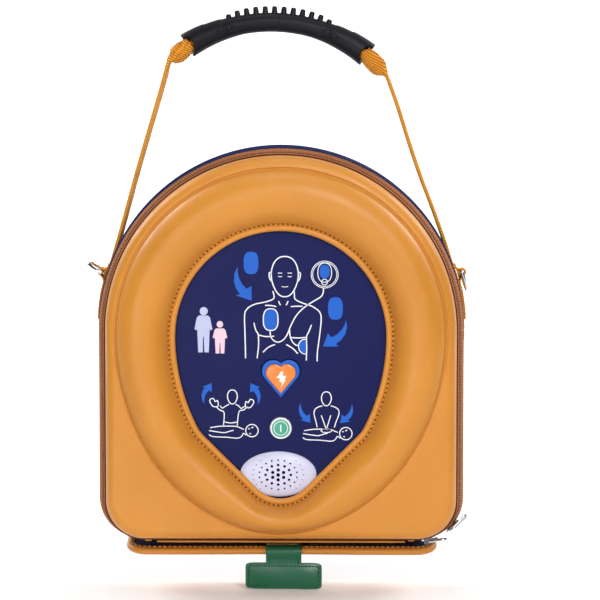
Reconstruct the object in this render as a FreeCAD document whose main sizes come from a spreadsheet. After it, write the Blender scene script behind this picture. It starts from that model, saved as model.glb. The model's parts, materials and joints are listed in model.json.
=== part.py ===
import FreeCAD, Part
import math
import os

import Sketcher
from FreeCAD import Placement, Rotation, Vector

# Automated external defibrillator in its arched carry case.
# Frame: origin on the flat back face of the case, at the axis of the arch. +Z is up, the front
# faces -Y, and "depth" is the distance in front of the back face, so depth d lies at y = -d.
# Lengths are millimetres.

SIZES = [
    # alias, value, what it is
    ("case_radius", 115.0, "arch radius of the zipper line, the widest outline"),
    ("case_drop", 133.0, "arch axis down to the bottom of the zipper line"),
    ("case_corner", 25.0, "bottom corner radius of the zipper line"),
    ("back_inset", 1.7, "back shell wall inside the zipper line"),
    ("back_round", 7.0, "rounding of the back shell's rear edge"),
    ("shell_wall", 3.5, "moulded foam shell with its skin"),
    ("panel_width", 150.0, "panel let into the back wall"),
    ("panel_height", 160.0, "panel let into the back wall"),
    ("panel_thick", 1.2, "panel let into the back wall"),
    ("panel_drop", 15.0, "middle of the back panel below the arch axis"),
    ("seam_depth", 42.0, "rear edge of the zipper band"),
    ("band_depth", 10.0, "width of the zipper band, front to back"),
    ("band_taper", 5.0, "how far the band draws in towards the front, top and sides"),
    ("bottom_share", 0.14, "share of that taper along the flat bottom"),
    ("coil_width", 1.1, "width of each zipper coil, front to back"),
    ("seam_gap", 0.4, "gap between the two halves of the closed zipper"),
    ("border_depth", 61.5, "flat border round the raised ring"),
    ("crest_depth", 72.0, "crest of the raised ring"),
    ("ring_radius", 102.0, "outer foot of the raised ring"),
    ("ring_drop", 126.5, "arch axis down to the foot of the ring"),
    ("ring_corner", 60.0, "bottom corner radius of the ring"),
    ("window_axis", 4.2, "window centre below the arch axis"),
    ("window_radius", 65.7, "top half of the window"),
    ("window_side_radius", 125.0, "long side arcs of the window"),
    ("window_side_turn", 27.0, "turn of each side arc, degrees"),
    ("window_tip_radius", 20.5, "bottom arc of the window"),
    ("window_tip_axis", 85.5, "centre of the bottom arc below the arch axis"),
    ("window_lip", 4.0, "rolled lip round the window"),
    ("rim_depth", 60.0, "front of the rolled lip"),
    ("aed_radius", 92.0, "rounded top of the defibrillator"),
    ("aed_axis", 11.0, "centre of that rounding below the arch axis"),
    ("aed_foot", 60.0, "half width of the defibrillator's flat bottom"),
    ("aed_bottom", 122.0, "flat bottom below the arch axis"),
    ("aed_rear", 7.0, "rear face of the defibrillator, as a depth"),
    ("aed_split", 36.0, "parting line of its housing, as a depth"),
    ("aed_front", 55.0, "front face of its housing, as a depth"),
    ("aed_wall", 2.5, "wall of its housing"),
    ("pak_width", 104.0, "battery and electrode cartridge"),
    ("pak_height", 100.0, "cartridge along its travel"),
    ("pak_thick", 22.0, "cartridge front to back"),
    ("pak_rear", 10.2, "rear face of the cartridge, as a depth"),
    ("opening_margin", 4.0, "case opening beyond the cartridge, each side"),
    ("power_drop", 62.0, "on/off button below the arch axis"),
    ("power_radius", 6.8, "on/off button"),
    ("shock_drop", 31.0, "shock button below the arch axis"),
    ("shock_side", 14.0, "side of the square in the heart shape"),
    ("button_gap", 0.4, "clearance round each button"),
    ("grille_drop", 91.0, "speaker grille below the arch axis"),
    ("grille_half_width", 23.9, "speaker grille"),
    ("grille_half_height", 14.3, "speaker grille"),
    ("strap_width", 25.0, "handle webbing"),
    ("strap_thick", 2.5, "handle webbing"),
    ("strap_depth", 21.0, "middle of the webbing, as a depth"),
    ("strap_offset", 116.0, "webbing's middle plane from the arch axis"),
    ("handle_pivot", 52.0, "height of the handle's bending line"),
    ("grip_radius", 99.0, "bow of the grip"),
    ("grip_thick", 12.0, "grip section"),
    ("flap_width", 198.0, "bottom flap"),
    ("flap_length", 40.0, "bottom flap, hinge to front edge"),
    ("flap_thick", 3.0, "bottom flap"),
    ("flap_droop", 11.0, "rest angle of the flap below level, degrees"),
    ("flap_hinge_depth", 3.2, "flap hinge line, as a depth"),
    ("flap_hinge_drop", 135.2, "flap hinge line below the arch axis"),
    ("tab_stem", 22.5, "pull tab stem width"),
    ("tab_bar_width", 48.4, "pull tab cross bar"),
    ("tab_bar_height", 16.7, "pull tab cross bar"),
    ("tab_thick", 2.2, "pull tab webbing"),
    ("ring_wire", 2.4, "D-ring wire"),
    ("ring_inner", 20.0, "D-ring opening along its bar"),
    ("ring_reach", 13.0, "D-ring, bar to tip"),
    ("slider_setback", 2.3, "middle of the parked sliders, in front of the band's rear edge"),
]

doc = FreeCAD.newDocument("DefibrillatorInCase")
pieces = []


def make_sheet():
    """The driving dimensions, one row each, with the alias that expressions use."""
    table = doc.addObject("Spreadsheet::Sheet", "Sizes")
    for row, (alias, value, note) in enumerate(SIZES, start=1):
        table.set(f"A{row}", note)
        table.set(f"B{row}", str(value))
        table.setAlias(f"B{row}", alias)
    doc.recompute()
    return table


sheet = make_sheet()


def size(expression):
    """The number that an expression over the sheet gives; plain numbers pass through."""
    if isinstance(expression, (int, float)):
        return float(expression)
    value = sheet.evalExpression(expression)
    return float(getattr(value, "Value", value))


def bind(target, property_path, expression):
    """Bind a property to the sheet, or set it when it is a plain number."""
    target.setExpression(property_path, str(expression))


# ---------------------------------------------------------------- sketches and bodies


def new_body(label):
    """A PartDesign body that becomes one node."""
    body = doc.addObject("PartDesign::Body", label)
    body.Label = label
    pieces.append(body)
    return body


def plane(body, role):
    """One of the body's own origin planes."""
    return next(f for f in body.Origin.OriginFeatures if f.Role == role)


def new_sketch(body, name, depth, role="XZ_Plane"):
    """A sketch on the arch's plane, moved forward by depth (its normal is -Y)."""
    sketch = body.newObject("Sketcher::SketchObject", name)
    sketch.AttachmentSupport = [(plane(body, role), "")]
    sketch.MapMode = "FlatFace"
    bind(sketch, "AttachmentOffset.Base.z", depth)
    return sketch


def arc(centre, radius, start, end):
    """Arc in a sketch's plane between two angles in radians."""
    return Part.ArcOfCircle(Part.Circle(centre, Vector(0, 0, 1), radius), start, end)


def constrain(sketch, kind, *arguments):
    """Add one constraint; an expression as the last argument is bound to it."""
    if isinstance(arguments[-1], str):
        index = sketch.addConstraint(Sketcher.Constraint(kind, *arguments[:-1], size(arguments[-1])))
        bind(sketch, f"Constraints[{index}]", arguments[-1])
    else:
        sketch.addConstraint(Sketcher.Constraint(kind, *arguments))


def arch_sketch(body, name, radius, drop, corner, depth):
    """Arch outline: a half circle on two upright sides, with rounded bottom corners."""
    sketch = new_sketch(body, name, depth)
    r, low, c = size(radius), -size(drop), size(corner)
    geometry = [
        arc(Vector(0, 0, 0), r, 0, math.pi),
        Part.LineSegment(Vector(-r, 0, 0), Vector(-r, low + c, 0)),
        arc(Vector(c - r, low + c, 0), c, math.pi, 1.5 * math.pi),
        Part.LineSegment(Vector(c - r, low, 0), Vector(r - c, low, 0)),
        arc(Vector(r - c, low + c, 0), c, -math.pi / 2, 0),
        Part.LineSegment(Vector(r, low + c, 0), Vector(r, 0, 0)),
    ]
    sketch.addGeometry(geometry, False)
    # every stretch runs into the next one without a corner
    for first, second, end, start in [(0, 1, 2, 1), (1, 2, 2, 1), (2, 3, 2, 1), (3, 4, 2, 1),
                                      (4, 5, 2, 1), (5, 0, 2, 1)]:
        constrain(sketch, "Tangent", first, end, second, start)
    constrain(sketch, "Coincident", 0, 3, -1, 1)
    constrain(sketch, "Vertical", 1)
    constrain(sketch, "Vertical", 5)
    constrain(sketch, "Horizontal", 3)
    constrain(sketch, "Equal", 2, 4)
    constrain(sketch, "Radius", 0, radius)
    constrain(sketch, "Radius", 2, corner)
    constrain(sketch, "DistanceY", 3, 1, -1, 1, drop)
    return sketch


def window_sketch(body, name, outset, depth):
    """Shield outline of the case window, set outwards by outset."""
    sketch = new_sketch(body, name, depth)
    axis = -size("Sizes.window_axis")
    top = size(f"Sizes.window_radius + {outset}")
    side = size(f"Sizes.window_side_radius + {outset}")
    tip = size(f"Sizes.window_tip_radius + {outset}")
    turn = math.radians(size("Sizes.window_side_turn"))
    tip_axis = -size("Sizes.window_tip_axis")
    slant = math.radians(45)
    side_x = top - side
    side_end = Vector(side_x + side * math.cos(turn), axis - side * math.sin(turn), 0)
    tip_start = Vector(tip * math.cos(slant), tip_axis - tip * math.sin(slant), 0)
    # the knee arc is tangent to the side arc and to the slanted line that reaches the tip
    normal = Vector(math.cos(turn), -math.sin(turn), 0)
    slant_normal = Vector(math.cos(slant), -math.sin(slant), 0)
    gap = (side_end - tip_start).dot(slant_normal)
    knee = -gap / (1 - normal.dot(slant_normal))
    knee_centre = side_end - normal * knee
    knee_end = knee_centre + slant_normal * knee

    def mirrored(point):
        return Vector(-point.x, point.y, 0)

    geometry = [
        arc(Vector(0, axis, 0), top, 0, math.pi),
        arc(Vector(-side_x, axis, 0), side, math.pi, math.pi + turn),
        arc(mirrored(knee_centre), knee, math.pi + turn, math.pi + slant),
        Part.LineSegment(mirrored(knee_end), mirrored(tip_start)),
        arc(Vector(0, tip_axis, 0), tip, math.pi + slant, 2 * math.pi - slant),
        Part.LineSegment(tip_start, knee_end),
        arc(knee_centre, knee, -slant, -turn),
        arc(Vector(side_x, axis, 0), side, -turn, 0),
    ]
    sketch.addGeometry(geometry, False)
    for first, second in [(0, 1), (1, 2), (2, 3), (3, 4), (4, 5), (5, 6), (6, 7), (7, 0)]:
        constrain(sketch, "Tangent", first, 2, second, 1)
    constrain(sketch, "PointOnObject", 0, 3, -2)
    constrain(sketch, "PointOnObject", 4, 3, -2)
    constrain(sketch, "DistanceY", 0, 3, -1, 1, "Sizes.window_axis")
    constrain(sketch, "DistanceY", 4, 3, -1, 1, "Sizes.window_tip_axis")
    constrain(sketch, "Radius", 0, f"Sizes.window_radius + {outset}")
    constrain(sketch, "Radius", 1, f"Sizes.window_side_radius + {outset}")
    constrain(sketch, "Radius", 4, f"Sizes.window_tip_radius + {outset}")
    constrain(sketch, "Equal", 1, 7)
    constrain(sketch, "Equal", 2, 6)
    return sketch


def aed_sketch(body, name, inset, depth):
    """Outline of the defibrillator: a round top whose sides draw in to a flat bottom."""
    sketch = new_sketch(body, name, depth)
    axis = -size("Sizes.aed_axis")
    radius = size(f"Sizes.aed_radius - {inset}")
    low = -size(f"Sizes.aed_bottom - {inset}")
    foot = size(f"Sizes.aed_foot - {inset}")
    reach = math.hypot(foot, low - axis)
    lean = math.atan2(low - axis, foot) + math.acos(radius / reach)
    touch = Vector(radius * math.cos(lean), axis + radius * math.sin(lean), 0)
    geometry = [
        arc(Vector(0, axis, 0), radius, lean, math.pi - lean),
        Part.LineSegment(Vector(-touch.x, touch.y, 0), Vector(-foot, low, 0)),
        Part.LineSegment(Vector(-foot, low, 0), Vector(foot, low, 0)),
        Part.LineSegment(Vector(foot, low, 0), touch),
    ]
    sketch.addGeometry(geometry, False)
    constrain(sketch, "Tangent", 0, 2, 1, 1)
    constrain(sketch, "Coincident", 1, 2, 2, 1)
    constrain(sketch, "Coincident", 2, 2, 3, 1)
    constrain(sketch, "Tangent", 3, 2, 0, 1)
    constrain(sketch, "PointOnObject", 0, 3, -2)
    constrain(sketch, "Symmetric", 2, 1, 2, 2, -2)
    constrain(sketch, "DistanceY", 0, 3, -1, 1, "Sizes.aed_axis")
    constrain(sketch, "Radius", 0, f"Sizes.aed_radius - {inset}")
    constrain(sketch, "DistanceY", 2, 1, -1, 1, f"Sizes.aed_bottom - {inset}")
    constrain(sketch, "DistanceX", 2, 1, 2, 2, f"2 * (Sizes.aed_foot - {inset})")
    return sketch


def rectangle_sketch(body, name, role, offset, centre, width, height):
    """Rectangle by its centre (two expressions), width and height on an origin plane."""
    sketch = new_sketch(body, name, offset, role)
    x, y = size(centre[0]), size(centre[1])
    w, h = size(width) / 2, size(height) / 2
    signs = ((-1, -1), (1, -1), (1, 1), (-1, 1))
    corners = [Vector(x + right * w, y + up * h, 0) for right, up in signs]
    for index in range(4):
        sketch.addGeometry(Part.LineSegment(corners[index], corners[(index + 1) % 4]), False)
    for index in range(4):
        constrain(sketch, "Coincident", index, 2, (index + 1) % 4, 1)
        constrain(sketch, "Horizontal" if index % 2 == 0 else "Vertical", index)
    constrain(sketch, "DistanceX", 0, 1, 0, 2, width)
    constrain(sketch, "DistanceY", 1, 1, 1, 2, height)
    constrain(sketch, "DistanceX", -1, 1, 0, 1, f"{centre[0]} - ({width}) / 2")
    constrain(sketch, "DistanceY", -1, 1, 0, 1, f"{centre[1]} - ({height}) / 2")
    return sketch


def circle_sketch(body, name, depth, centre, radius):
    """One circle on the arch's plane."""
    sketch = new_sketch(body, name, depth)
    middle = Vector(size(centre[0]), size(centre[1]), 0)
    sketch.addGeometry(Part.Circle(middle, Vector(0, 0, 1), size(radius)), False)
    constrain(sketch, "Radius", 0, radius)
    constrain(sketch, "DistanceX", -1, 1, 0, 3, centre[0])
    constrain(sketch, "DistanceY", -1, 1, 0, 3, centre[1])
    return sketch


def pad(body, sketch, length):
    """Pad forward (towards -Y for sketches on the arch's plane)."""
    feature = body.newObject("PartDesign::Pad", "Pad")
    feature.Profile = sketch
    bind(feature, "Length", length)
    return feature


def pocket(body, sketch, length, backwards=True):
    """Pocket: backwards cuts towards the back face, otherwise along the sketch's normal."""
    feature = body.newObject("PartDesign::Pocket", "Pocket")
    feature.Profile = sketch
    feature.Reversed = not backwards
    bind(feature, "Length", length)
    doc.recompute()
    return feature


def loft(body, first, second, cut=False):
    """Straight-sided transition between two outlines."""
    kind = "PartDesign::SubtractiveLoft" if cut else "PartDesign::AdditiveLoft"
    feature = body.newObject(kind, "Loft")
    feature.Profile = first
    feature.Sections = [second]
    feature.Ruled = True
    return feature


def fillet(body, feature, radius, wanted):
    """Round the edges of a feature that the test accepts."""
    doc.recompute()
    names = [f"Edge{i}" for i, edge in enumerate(feature.Shape.Edges, start=1) if wanted(edge)]
    rounded = body.newObject("PartDesign::Fillet", "Fillet")
    rounded.Base = (feature, names)
    bind(rounded, "Radius", radius)
    return rounded


def at_depth(depth):
    """Edges that lie in one plane parallel to the back face."""
    def wanted(edge):
        box = edge.BoundBox
        return abs(box.YMin + depth) < 0.01 and abs(box.YMax + depth) < 0.01
    return wanted


# ---------------------------------------------------------------- primitives and booleans


def named(item, label):
    """Give a top-level object its node name."""
    item.Label = label
    pieces.append(item)
    return item


def box(name, width, thick, height, centre_x, depth, centre_z):
    """Box by width, front-to-back thickness and height; depth is its rear face."""
    item = doc.addObject("Part::Box", name)
    bind(item, "Length", width)
    bind(item, "Width", thick)
    bind(item, "Height", height)
    bind(item, "Placement.Base.x", f"{centre_x} - ({width}) / 2")
    bind(item, "Placement.Base.y", f"-({depth}) - ({thick})")
    bind(item, "Placement.Base.z", f"{centre_z} - ({height}) / 2")
    return item


def cylinder(name, radius, length, centre, axis="front"):
    """Cylinder from a rear, left or lower end point (expressions x, depth, z)."""
    item = doc.addObject("Part::Cylinder", name)
    bind(item, "Radius", radius)
    bind(item, "Height", length)
    turns = {
        "front": Rotation(Vector(1, 0, 0), 90),
        "right": Rotation(Vector(0, 1, 0), 90),
        "up": Rotation(),
    }
    item.Placement = Placement(Vector(), turns[axis])
    bind(item, "Placement.Base.x", centre[0])
    bind(item, "Placement.Base.y", f"-({centre[1]})")
    bind(item, "Placement.Base.z", centre[2])
    return item


def fuse(name, *items):
    """Union of several shapes."""
    joined = doc.addObject("Part::MultiFuse", name)
    joined.Shapes = list(items)
    return joined


def cut(name, base, tool):
    """First shape without the second."""
    result = doc.addObject("Part::Cut", name)
    result.Base = base
    result.Tool = tool
    return result


def group(name, items):
    """Identical loose pieces that share one node."""
    item = doc.addObject("Part::Compound", name)
    item.Links = list(items)
    return item


def rounded_box(name, radius, *arguments):
    """Box with every edge rounded."""
    base = box(name + "_blank", *arguments)
    doc.recompute()
    item = doc.addObject("Part::Fillet", name)
    item.Base = base
    item.Edges = [(i, radius, radius) for i in range(1, len(base.Shape.Edges) + 1)]
    return item


def solid_piece(label, shape, placement=None):
    """A piece that is set from Part's own functions."""
    item = doc.addObject("Part::Feature", label)
    item.Shape = shape
    if placement:
        item.Placement = placement
    return named(item, label)


# ---------------------------------------------------------------- case


RADIUS, DROP, CORNER = "Sizes.case_radius", "Sizes.case_drop", "Sizes.case_corner"


def back_shell():
    """Moulded rear tray of the case, open at the front, with the cartridge opening below."""
    body = new_body("back_shell")
    inset = "Sizes.back_inset"
    outline = arch_sketch(body, "back_outline", f"{RADIUS} - {inset}", f"{DROP} - {inset}",
                          f"{CORNER} - {inset}", "0")
    blank = pad(body, outline, "Sizes.seam_depth")
    fillet(body, blank, "Sizes.back_round", at_depth(0))
    lip = arch_sketch(body, "back_lip", RADIUS, DROP, CORNER, "Sizes.seam_depth - 3")
    pad(body, lip, "3")
    wall = f"({inset} + Sizes.shell_wall)"
    inside = arch_sketch(body, "back_inside", f"{RADIUS} - {wall}", f"{DROP} - {wall}",
                         f"{CORNER} - {wall}", "Sizes.seam_depth")
    pocket(body, inside, "Sizes.seam_depth - Sizes.shell_wall")
    recess = rectangle_sketch(body, "panel_recess", "XZ_Plane", "Sizes.panel_thick",
                              ("0", "-Sizes.panel_drop"), "Sizes.panel_width + 0.4",
                              "Sizes.panel_height + 0.4")
    pocket(body, recess, "Sizes.panel_thick")
    opening = rectangle_sketch(
        body, "cartridge_opening", "XY_Plane", f"-{DROP} - 1",
        ("0", "-(Sizes.pak_rear + Sizes.pak_thick / 2)"),
        "Sizes.pak_width + 2 * Sizes.opening_margin", "Sizes.pak_thick + 4")
    pocket(body, opening, "14", backwards=False)
    return body


def inset_arch(body, name, taper, wall, depth):
    """Zipper line drawn in by a taper, which is smaller along the bottom, and by an even wall."""
    return arch_sketch(body, name, f"{RADIUS} - ({taper} + {wall})",
                       f"{DROP} - ({taper}) * Sizes.bottom_share - ({wall})",
                       f"{CORNER} - (({taper}) * Sizes.bottom_share + {wall})", depth)


def outline_ring(label, rear, front, thick, depth, length):
    """Band that follows the arch; rear and front are how far it lies inside the zipper line."""
    body = new_body(label)
    ends = (("rear", rear, depth), ("front", front, f"{depth} + {length}"))
    outer = [inset_arch(body, f"{label}_{name}", taper, "0", place) for name, taper, place in ends]
    loft(body, outer[0], outer[1])
    bore = [inset_arch(body, f"{label}_{name}_bore", taper, thick, place) for name, taper, place in ends]
    loft(body, bore[0], bore[1], cut=True)
    return body


def zipper():
    """Two sewn tapes and two coils that meet at the middle of the band."""
    half = "(Sizes.band_depth - Sizes.seam_gap) / 2"
    coil = "Sizes.coil_width"
    slope = "Sizes.band_taper / Sizes.band_depth"
    outline_ring("rear_zip_tape", "0", f"({half} - {coil}) * {slope}", "1.8", "Sizes.seam_depth",
                 f"{half} - {coil}")
    outline_ring("rear_zip_coil", f"({half} - {coil}) * {slope}", f"({half}) * {slope}", "2.4",
                 f"Sizes.seam_depth + {half} - {coil}", coil)
    outline_ring("front_zip_coil", f"({half} + Sizes.seam_gap) * {slope}",
                 f"({half} + Sizes.seam_gap + {coil}) * {slope}", "2.4",
                 f"Sizes.seam_depth + {half} + Sizes.seam_gap", coil)
    outline_ring("front_zip_tape", f"({half} + Sizes.seam_gap + {coil}) * {slope}", "Sizes.band_taper",
                 "1.8", f"Sizes.seam_depth + {half} + Sizes.seam_gap + {coil}", f"{half} - {coil}")


def front_shell():
    """Moulded front cover: border, raised ring and the window for the controls."""
    body = new_body("front_shell")
    rim = "Sizes.seam_depth + Sizes.band_depth"
    taper = "Sizes.band_taper"
    low = inset_arch(body, "cover_rim", taper, "0", rim)
    border = inset_arch(body, "cover_border", taper, "3", "Sizes.border_depth")
    loft(body, low, border)
    foot = arch_sketch(body, "ring_foot", "Sizes.ring_radius", "Sizes.ring_drop", "Sizes.ring_corner",
                       "Sizes.border_depth")
    crest = arch_sketch(body, "ring_crest", "Sizes.ring_radius - 9", "Sizes.ring_drop - 9",
                        "Sizes.ring_corner - 6", "Sizes.crest_depth")
    loft(body, foot, crest)
    wall = "Sizes.shell_wall"
    inner_low = inset_arch(body, "cover_inside", taper, wall, rim)
    inner_high = inset_arch(body, "cover_inside_border", taper, f"(3 + {wall})",
                            f"Sizes.border_depth - {wall}")
    loft(body, inner_low, inner_high, cut=True)
    slope_low = window_sketch(body, "window_at_lip", "Sizes.window_lip", "Sizes.rim_depth - 4")
    slope_high = window_sketch(body, "window_at_crest", "Sizes.window_lip + 9", "Sizes.crest_depth + 0.01")
    loft(body, slope_low, slope_high, cut=True)
    through = window_sketch(body, "window_through", "Sizes.window_lip", "Sizes.rim_depth")
    pocket(body, through, "30")
    return body


def window_rim():
    """Rolled and stitched lip round the window."""
    body = new_body("window_rim")
    outer = window_sketch(body, "lip_outer", "Sizes.window_lip", "Sizes.rim_depth - 3.5")
    pad(body, outer, "3.5")
    inner = window_sketch(body, "lip_inner", "0", "Sizes.rim_depth")
    pocket(body, inner, "6")
    return body


def front_piping():
    """Stitched seam that joins the cover to the zipper band, just inside the cover's rim."""
    body = new_body("front_binding")
    depth = "Sizes.seam_depth + Sizes.band_depth - 3.5"
    pad(body, inset_arch(body, "binding_outer", "Sizes.band_taper", "1.95", depth), "3.4")
    bore = inset_arch(body, "binding_bore", "Sizes.band_taper", "3.95", f"{depth} + 3.4")
    pocket(body, bore, "6")


def foam_cradle():
    """Foam tray between the back shell and the defibrillator, with its own outline cut out."""
    body = new_body("foam_cradle")
    wall = "(Sizes.back_inset + Sizes.shell_wall + 0.5)"
    outer = arch_sketch(body, "foam_outer", f"{RADIUS} - {wall}", f"{DROP} - {wall}", f"{CORNER} - {wall}",
                        "Sizes.shell_wall + 0.3")
    pad(body, outer, "34")
    nest = aed_sketch(body, "foam_nest", "-0.4", "60")
    pocket(body, nest, "60 - Sizes.aed_rear + 0.4")
    opening = rectangle_sketch(
        body, "foam_opening", "XY_Plane", f"-{DROP} - 1",
        ("0", "-(Sizes.pak_rear + Sizes.pak_thick / 2)"),
        "Sizes.pak_width + 2 * Sizes.opening_margin", "Sizes.pak_thick + 4")
    pocket(body, opening, "20", backwards=False)
    return body


# ---------------------------------------------------------------- defibrillator


def aed_rear_housing():
    """Rear half of the defibrillator's housing, with the cartridge bay open at the bottom."""
    body = new_body("aed_rear_housing")
    outline = aed_sketch(body, "rear_outline", "0", "Sizes.aed_rear")
    blank = pad(body, outline, "Sizes.aed_split - Sizes.aed_rear")
    fillet(body, blank, "2", at_depth(size("Sizes.aed_rear")))
    inside = aed_sketch(body, "rear_inside", "Sizes.aed_wall", "Sizes.aed_split")
    pocket(body, inside, "Sizes.aed_split - Sizes.aed_rear - Sizes.aed_wall")
    mouth = rectangle_sketch(body, "bay_mouth", "XY_Plane", "-Sizes.aed_bottom - 1",
                             ("0", "-(Sizes.pak_rear + Sizes.pak_thick / 2)"),
                             "Sizes.pak_width + 0.8", "Sizes.pak_thick + 0.8")
    pocket(body, mouth, "4", backwards=False)
    return body


def aed_front_housing():
    """Front half of the housing, with openings for the two buttons and the speaker."""
    body = new_body("aed_front_housing")
    outline = aed_sketch(body, "front_outline", "0", "Sizes.aed_split + 1")
    blank = pad(body, outline, "Sizes.aed_front - Sizes.aed_split - 1")
    fillet(body, blank, "3", at_depth(size("Sizes.aed_front")))
    inside = aed_sketch(body, "front_inside", "Sizes.aed_wall + 0.6",
                        "Sizes.aed_front - Sizes.aed_wall")
    pocket(body, inside, "40")
    openings(body, "Sizes.aed_front + 1", "6")
    return body


def openings(body, depth, length):
    """Holes for the on/off button, the shock button and the speaker's sound."""
    power = circle_sketch(body, "power_hole", depth, ("0", "-Sizes.power_drop"),
                          "Sizes.power_radius + Sizes.button_gap")
    pocket(body, power, length)
    shock = heart_sketch(body, "shock_hole", depth, "Sizes.shock_side + 2 * Sizes.button_gap")
    pocket(body, shock, length)


def heart_sketch(body, name, depth, side):
    """Heart: a square on its corner with a half circle on each upper side."""
    sketch = new_sketch(body, name, depth)
    a = size(side)
    half = a / math.sqrt(2)
    centre = Vector(0, -size("Sizes.shock_drop"), 0)
    tip = centre + Vector(0, -half, 0)
    left = centre + Vector(-half, 0, 0)
    right = centre + Vector(half, 0, 0)
    top = centre + Vector(0, half, 0)
    left_lobe = (left + top) * 0.5
    right_lobe = (right + top) * 0.5
    quarter = math.pi / 4
    sketch.addGeometry([
        Part.LineSegment(tip, right),
        arc(right_lobe, a / 2, -quarter, 3 * quarter),
        arc(left_lobe, a / 2, quarter, 5 * quarter),
        Part.LineSegment(left, tip),
    ], False)
    constrain(sketch, "Tangent", 0, 2, 1, 1)
    constrain(sketch, "Tangent", 2, 2, 3, 1)
    constrain(sketch, "Coincident", 1, 2, 2, 1)
    constrain(sketch, "Coincident", 3, 2, 0, 1)
    constrain(sketch, "PointOnObject", 0, 1, -2)
    constrain(sketch, "PointOnObject", 1, 2, -2)
    constrain(sketch, "Symmetric", 0, 2, 2, 2, -2)
    constrain(sketch, "Radius", 1, f"({side}) / 2")
    constrain(sketch, "DistanceX", 2, 2, 0, 2, f"({side}) * sqrt(2)")
    constrain(sketch, "DistanceY", 0, 2, -1, 1, "Sizes.shock_drop")
    constrain(sketch, "DistanceY", 0, 1, -1, 1, f"Sizes.shock_drop + ({side}) / sqrt(2)")
    return sketch


def housing_gasket():
    """Flat seal between the two halves of the housing."""
    body = new_body("housing_gasket")
    outer = aed_sketch(body, "gasket_outer", "0.6", "Sizes.aed_split")
    pad(body, outer, "1")
    inner = aed_sketch(body, "gasket_inner", "Sizes.aed_wall + 0.6", "Sizes.aed_split + 2")
    pocket(body, inner, "4")
    return body


def membrane_label():
    """Printed overlay that covers the front of the defibrillator."""
    body = new_body("front_label")
    outline = aed_sketch(body, "label_outline", "4.5", "Sizes.aed_front")
    pad(body, outline, "0.5")
    openings(body, "Sizes.aed_front + 2", "4")
    return body


def buttons():
    """Two push buttons, each with a flange behind the front wall."""
    cap = cylinder("power_cap", "Sizes.power_radius", "5.4",
                   ("0", "Sizes.aed_front - 4.2", "-Sizes.power_drop"))
    flange = cylinder("power_flange", "Sizes.power_radius + 1.6", "1.4",
                      ("0", "Sizes.aed_front - Sizes.aed_wall - 1.7", "-Sizes.power_drop"))
    stem = cylinder("power_stem", "1.8", "5.5", ("0", "Sizes.aed_front - 9.4", "-Sizes.power_drop"))
    named(fuse("on_off_button", cap, flange, stem), "on_off_button")

    body = new_body("shock_button")
    flange_profile = heart_sketch(body, "shock_flange", "Sizes.aed_front - Sizes.aed_wall - 1.7",
                                  "Sizes.shock_side + 3.2")
    pad(body, flange_profile, "1.4")
    cap_profile = heart_sketch(body, "shock_cap", "Sizes.aed_front - Sizes.aed_wall - 0.3",
                               "Sizes.shock_side")
    pad(body, cap_profile, "Sizes.aed_wall + 0.9")
    stem_profile = circle_sketch(body, "shock_stem", "Sizes.aed_front - 9.4",
                                 ("0", "-Sizes.shock_drop"), "1.8")
    pad(body, stem_profile, "6")

    switches = [cylinder(f"switch_{name}", "3", "3.5",
                         ("0", "Sizes.aed_split + 4.6", f"-Sizes.{name}_drop"))
                for name in ("power", "shock")]
    named(group("tact_switches", switches), "tact_switches")


def speaker():
    """Oval grille on the front face and the loudspeaker behind it."""
    wide, high = size("Sizes.grille_half_width"), size("Sizes.grille_half_height")
    ellipse = Part.Ellipse(Vector(0, 0, 0), wide, high).toShape()
    plate = Part.Face(Part.Wire(ellipse)).extrude(Vector(0, 0, 0.7))
    holes = []
    ring_pitch = 3.6
    for ring in range(5):
        count = 1 if ring == 0 else 6 * ring
        for step in range(count):
            angle = 2 * math.pi * step / count
            reach = ring_pitch * ring
            spot = Vector(reach * math.cos(angle), 0.72 * reach * math.sin(angle), -1)
            bore = 1.15 - 0.17 * ring
            holes.append(Part.makeCylinder(bore, 4, spot))
    plate = plate.cut(Part.makeCompound(holes))
    place = Placement(Vector(0, -size("Sizes.aed_front + 0.5"), -size("Sizes.grille_drop")),
                      Rotation(Vector(1, 0, 0), 90))
    solid_piece("speaker_grille", plate, place)
    basket = doc.addObject("Part::Cone", "speaker_basket")
    bind(basket, "Radius1", "8")
    bind(basket, "Radius2", "14")
    bind(basket, "Height", "7")
    basket.Placement = Placement(Vector(), Rotation(Vector(1, 0, 0), 90))
    bind(basket, "Placement.Base.y", "-(Sizes.aed_front - Sizes.aed_wall - 7.3)")
    bind(basket, "Placement.Base.z", "-Sizes.grille_drop")
    magnet = cylinder("speaker_magnet", "7", "3",
                      ("0", "Sizes.aed_front - Sizes.aed_wall - 10.3", "-Sizes.grille_drop"))
    named(fuse("loudspeaker", basket, magnet), "loudspeaker")


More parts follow.
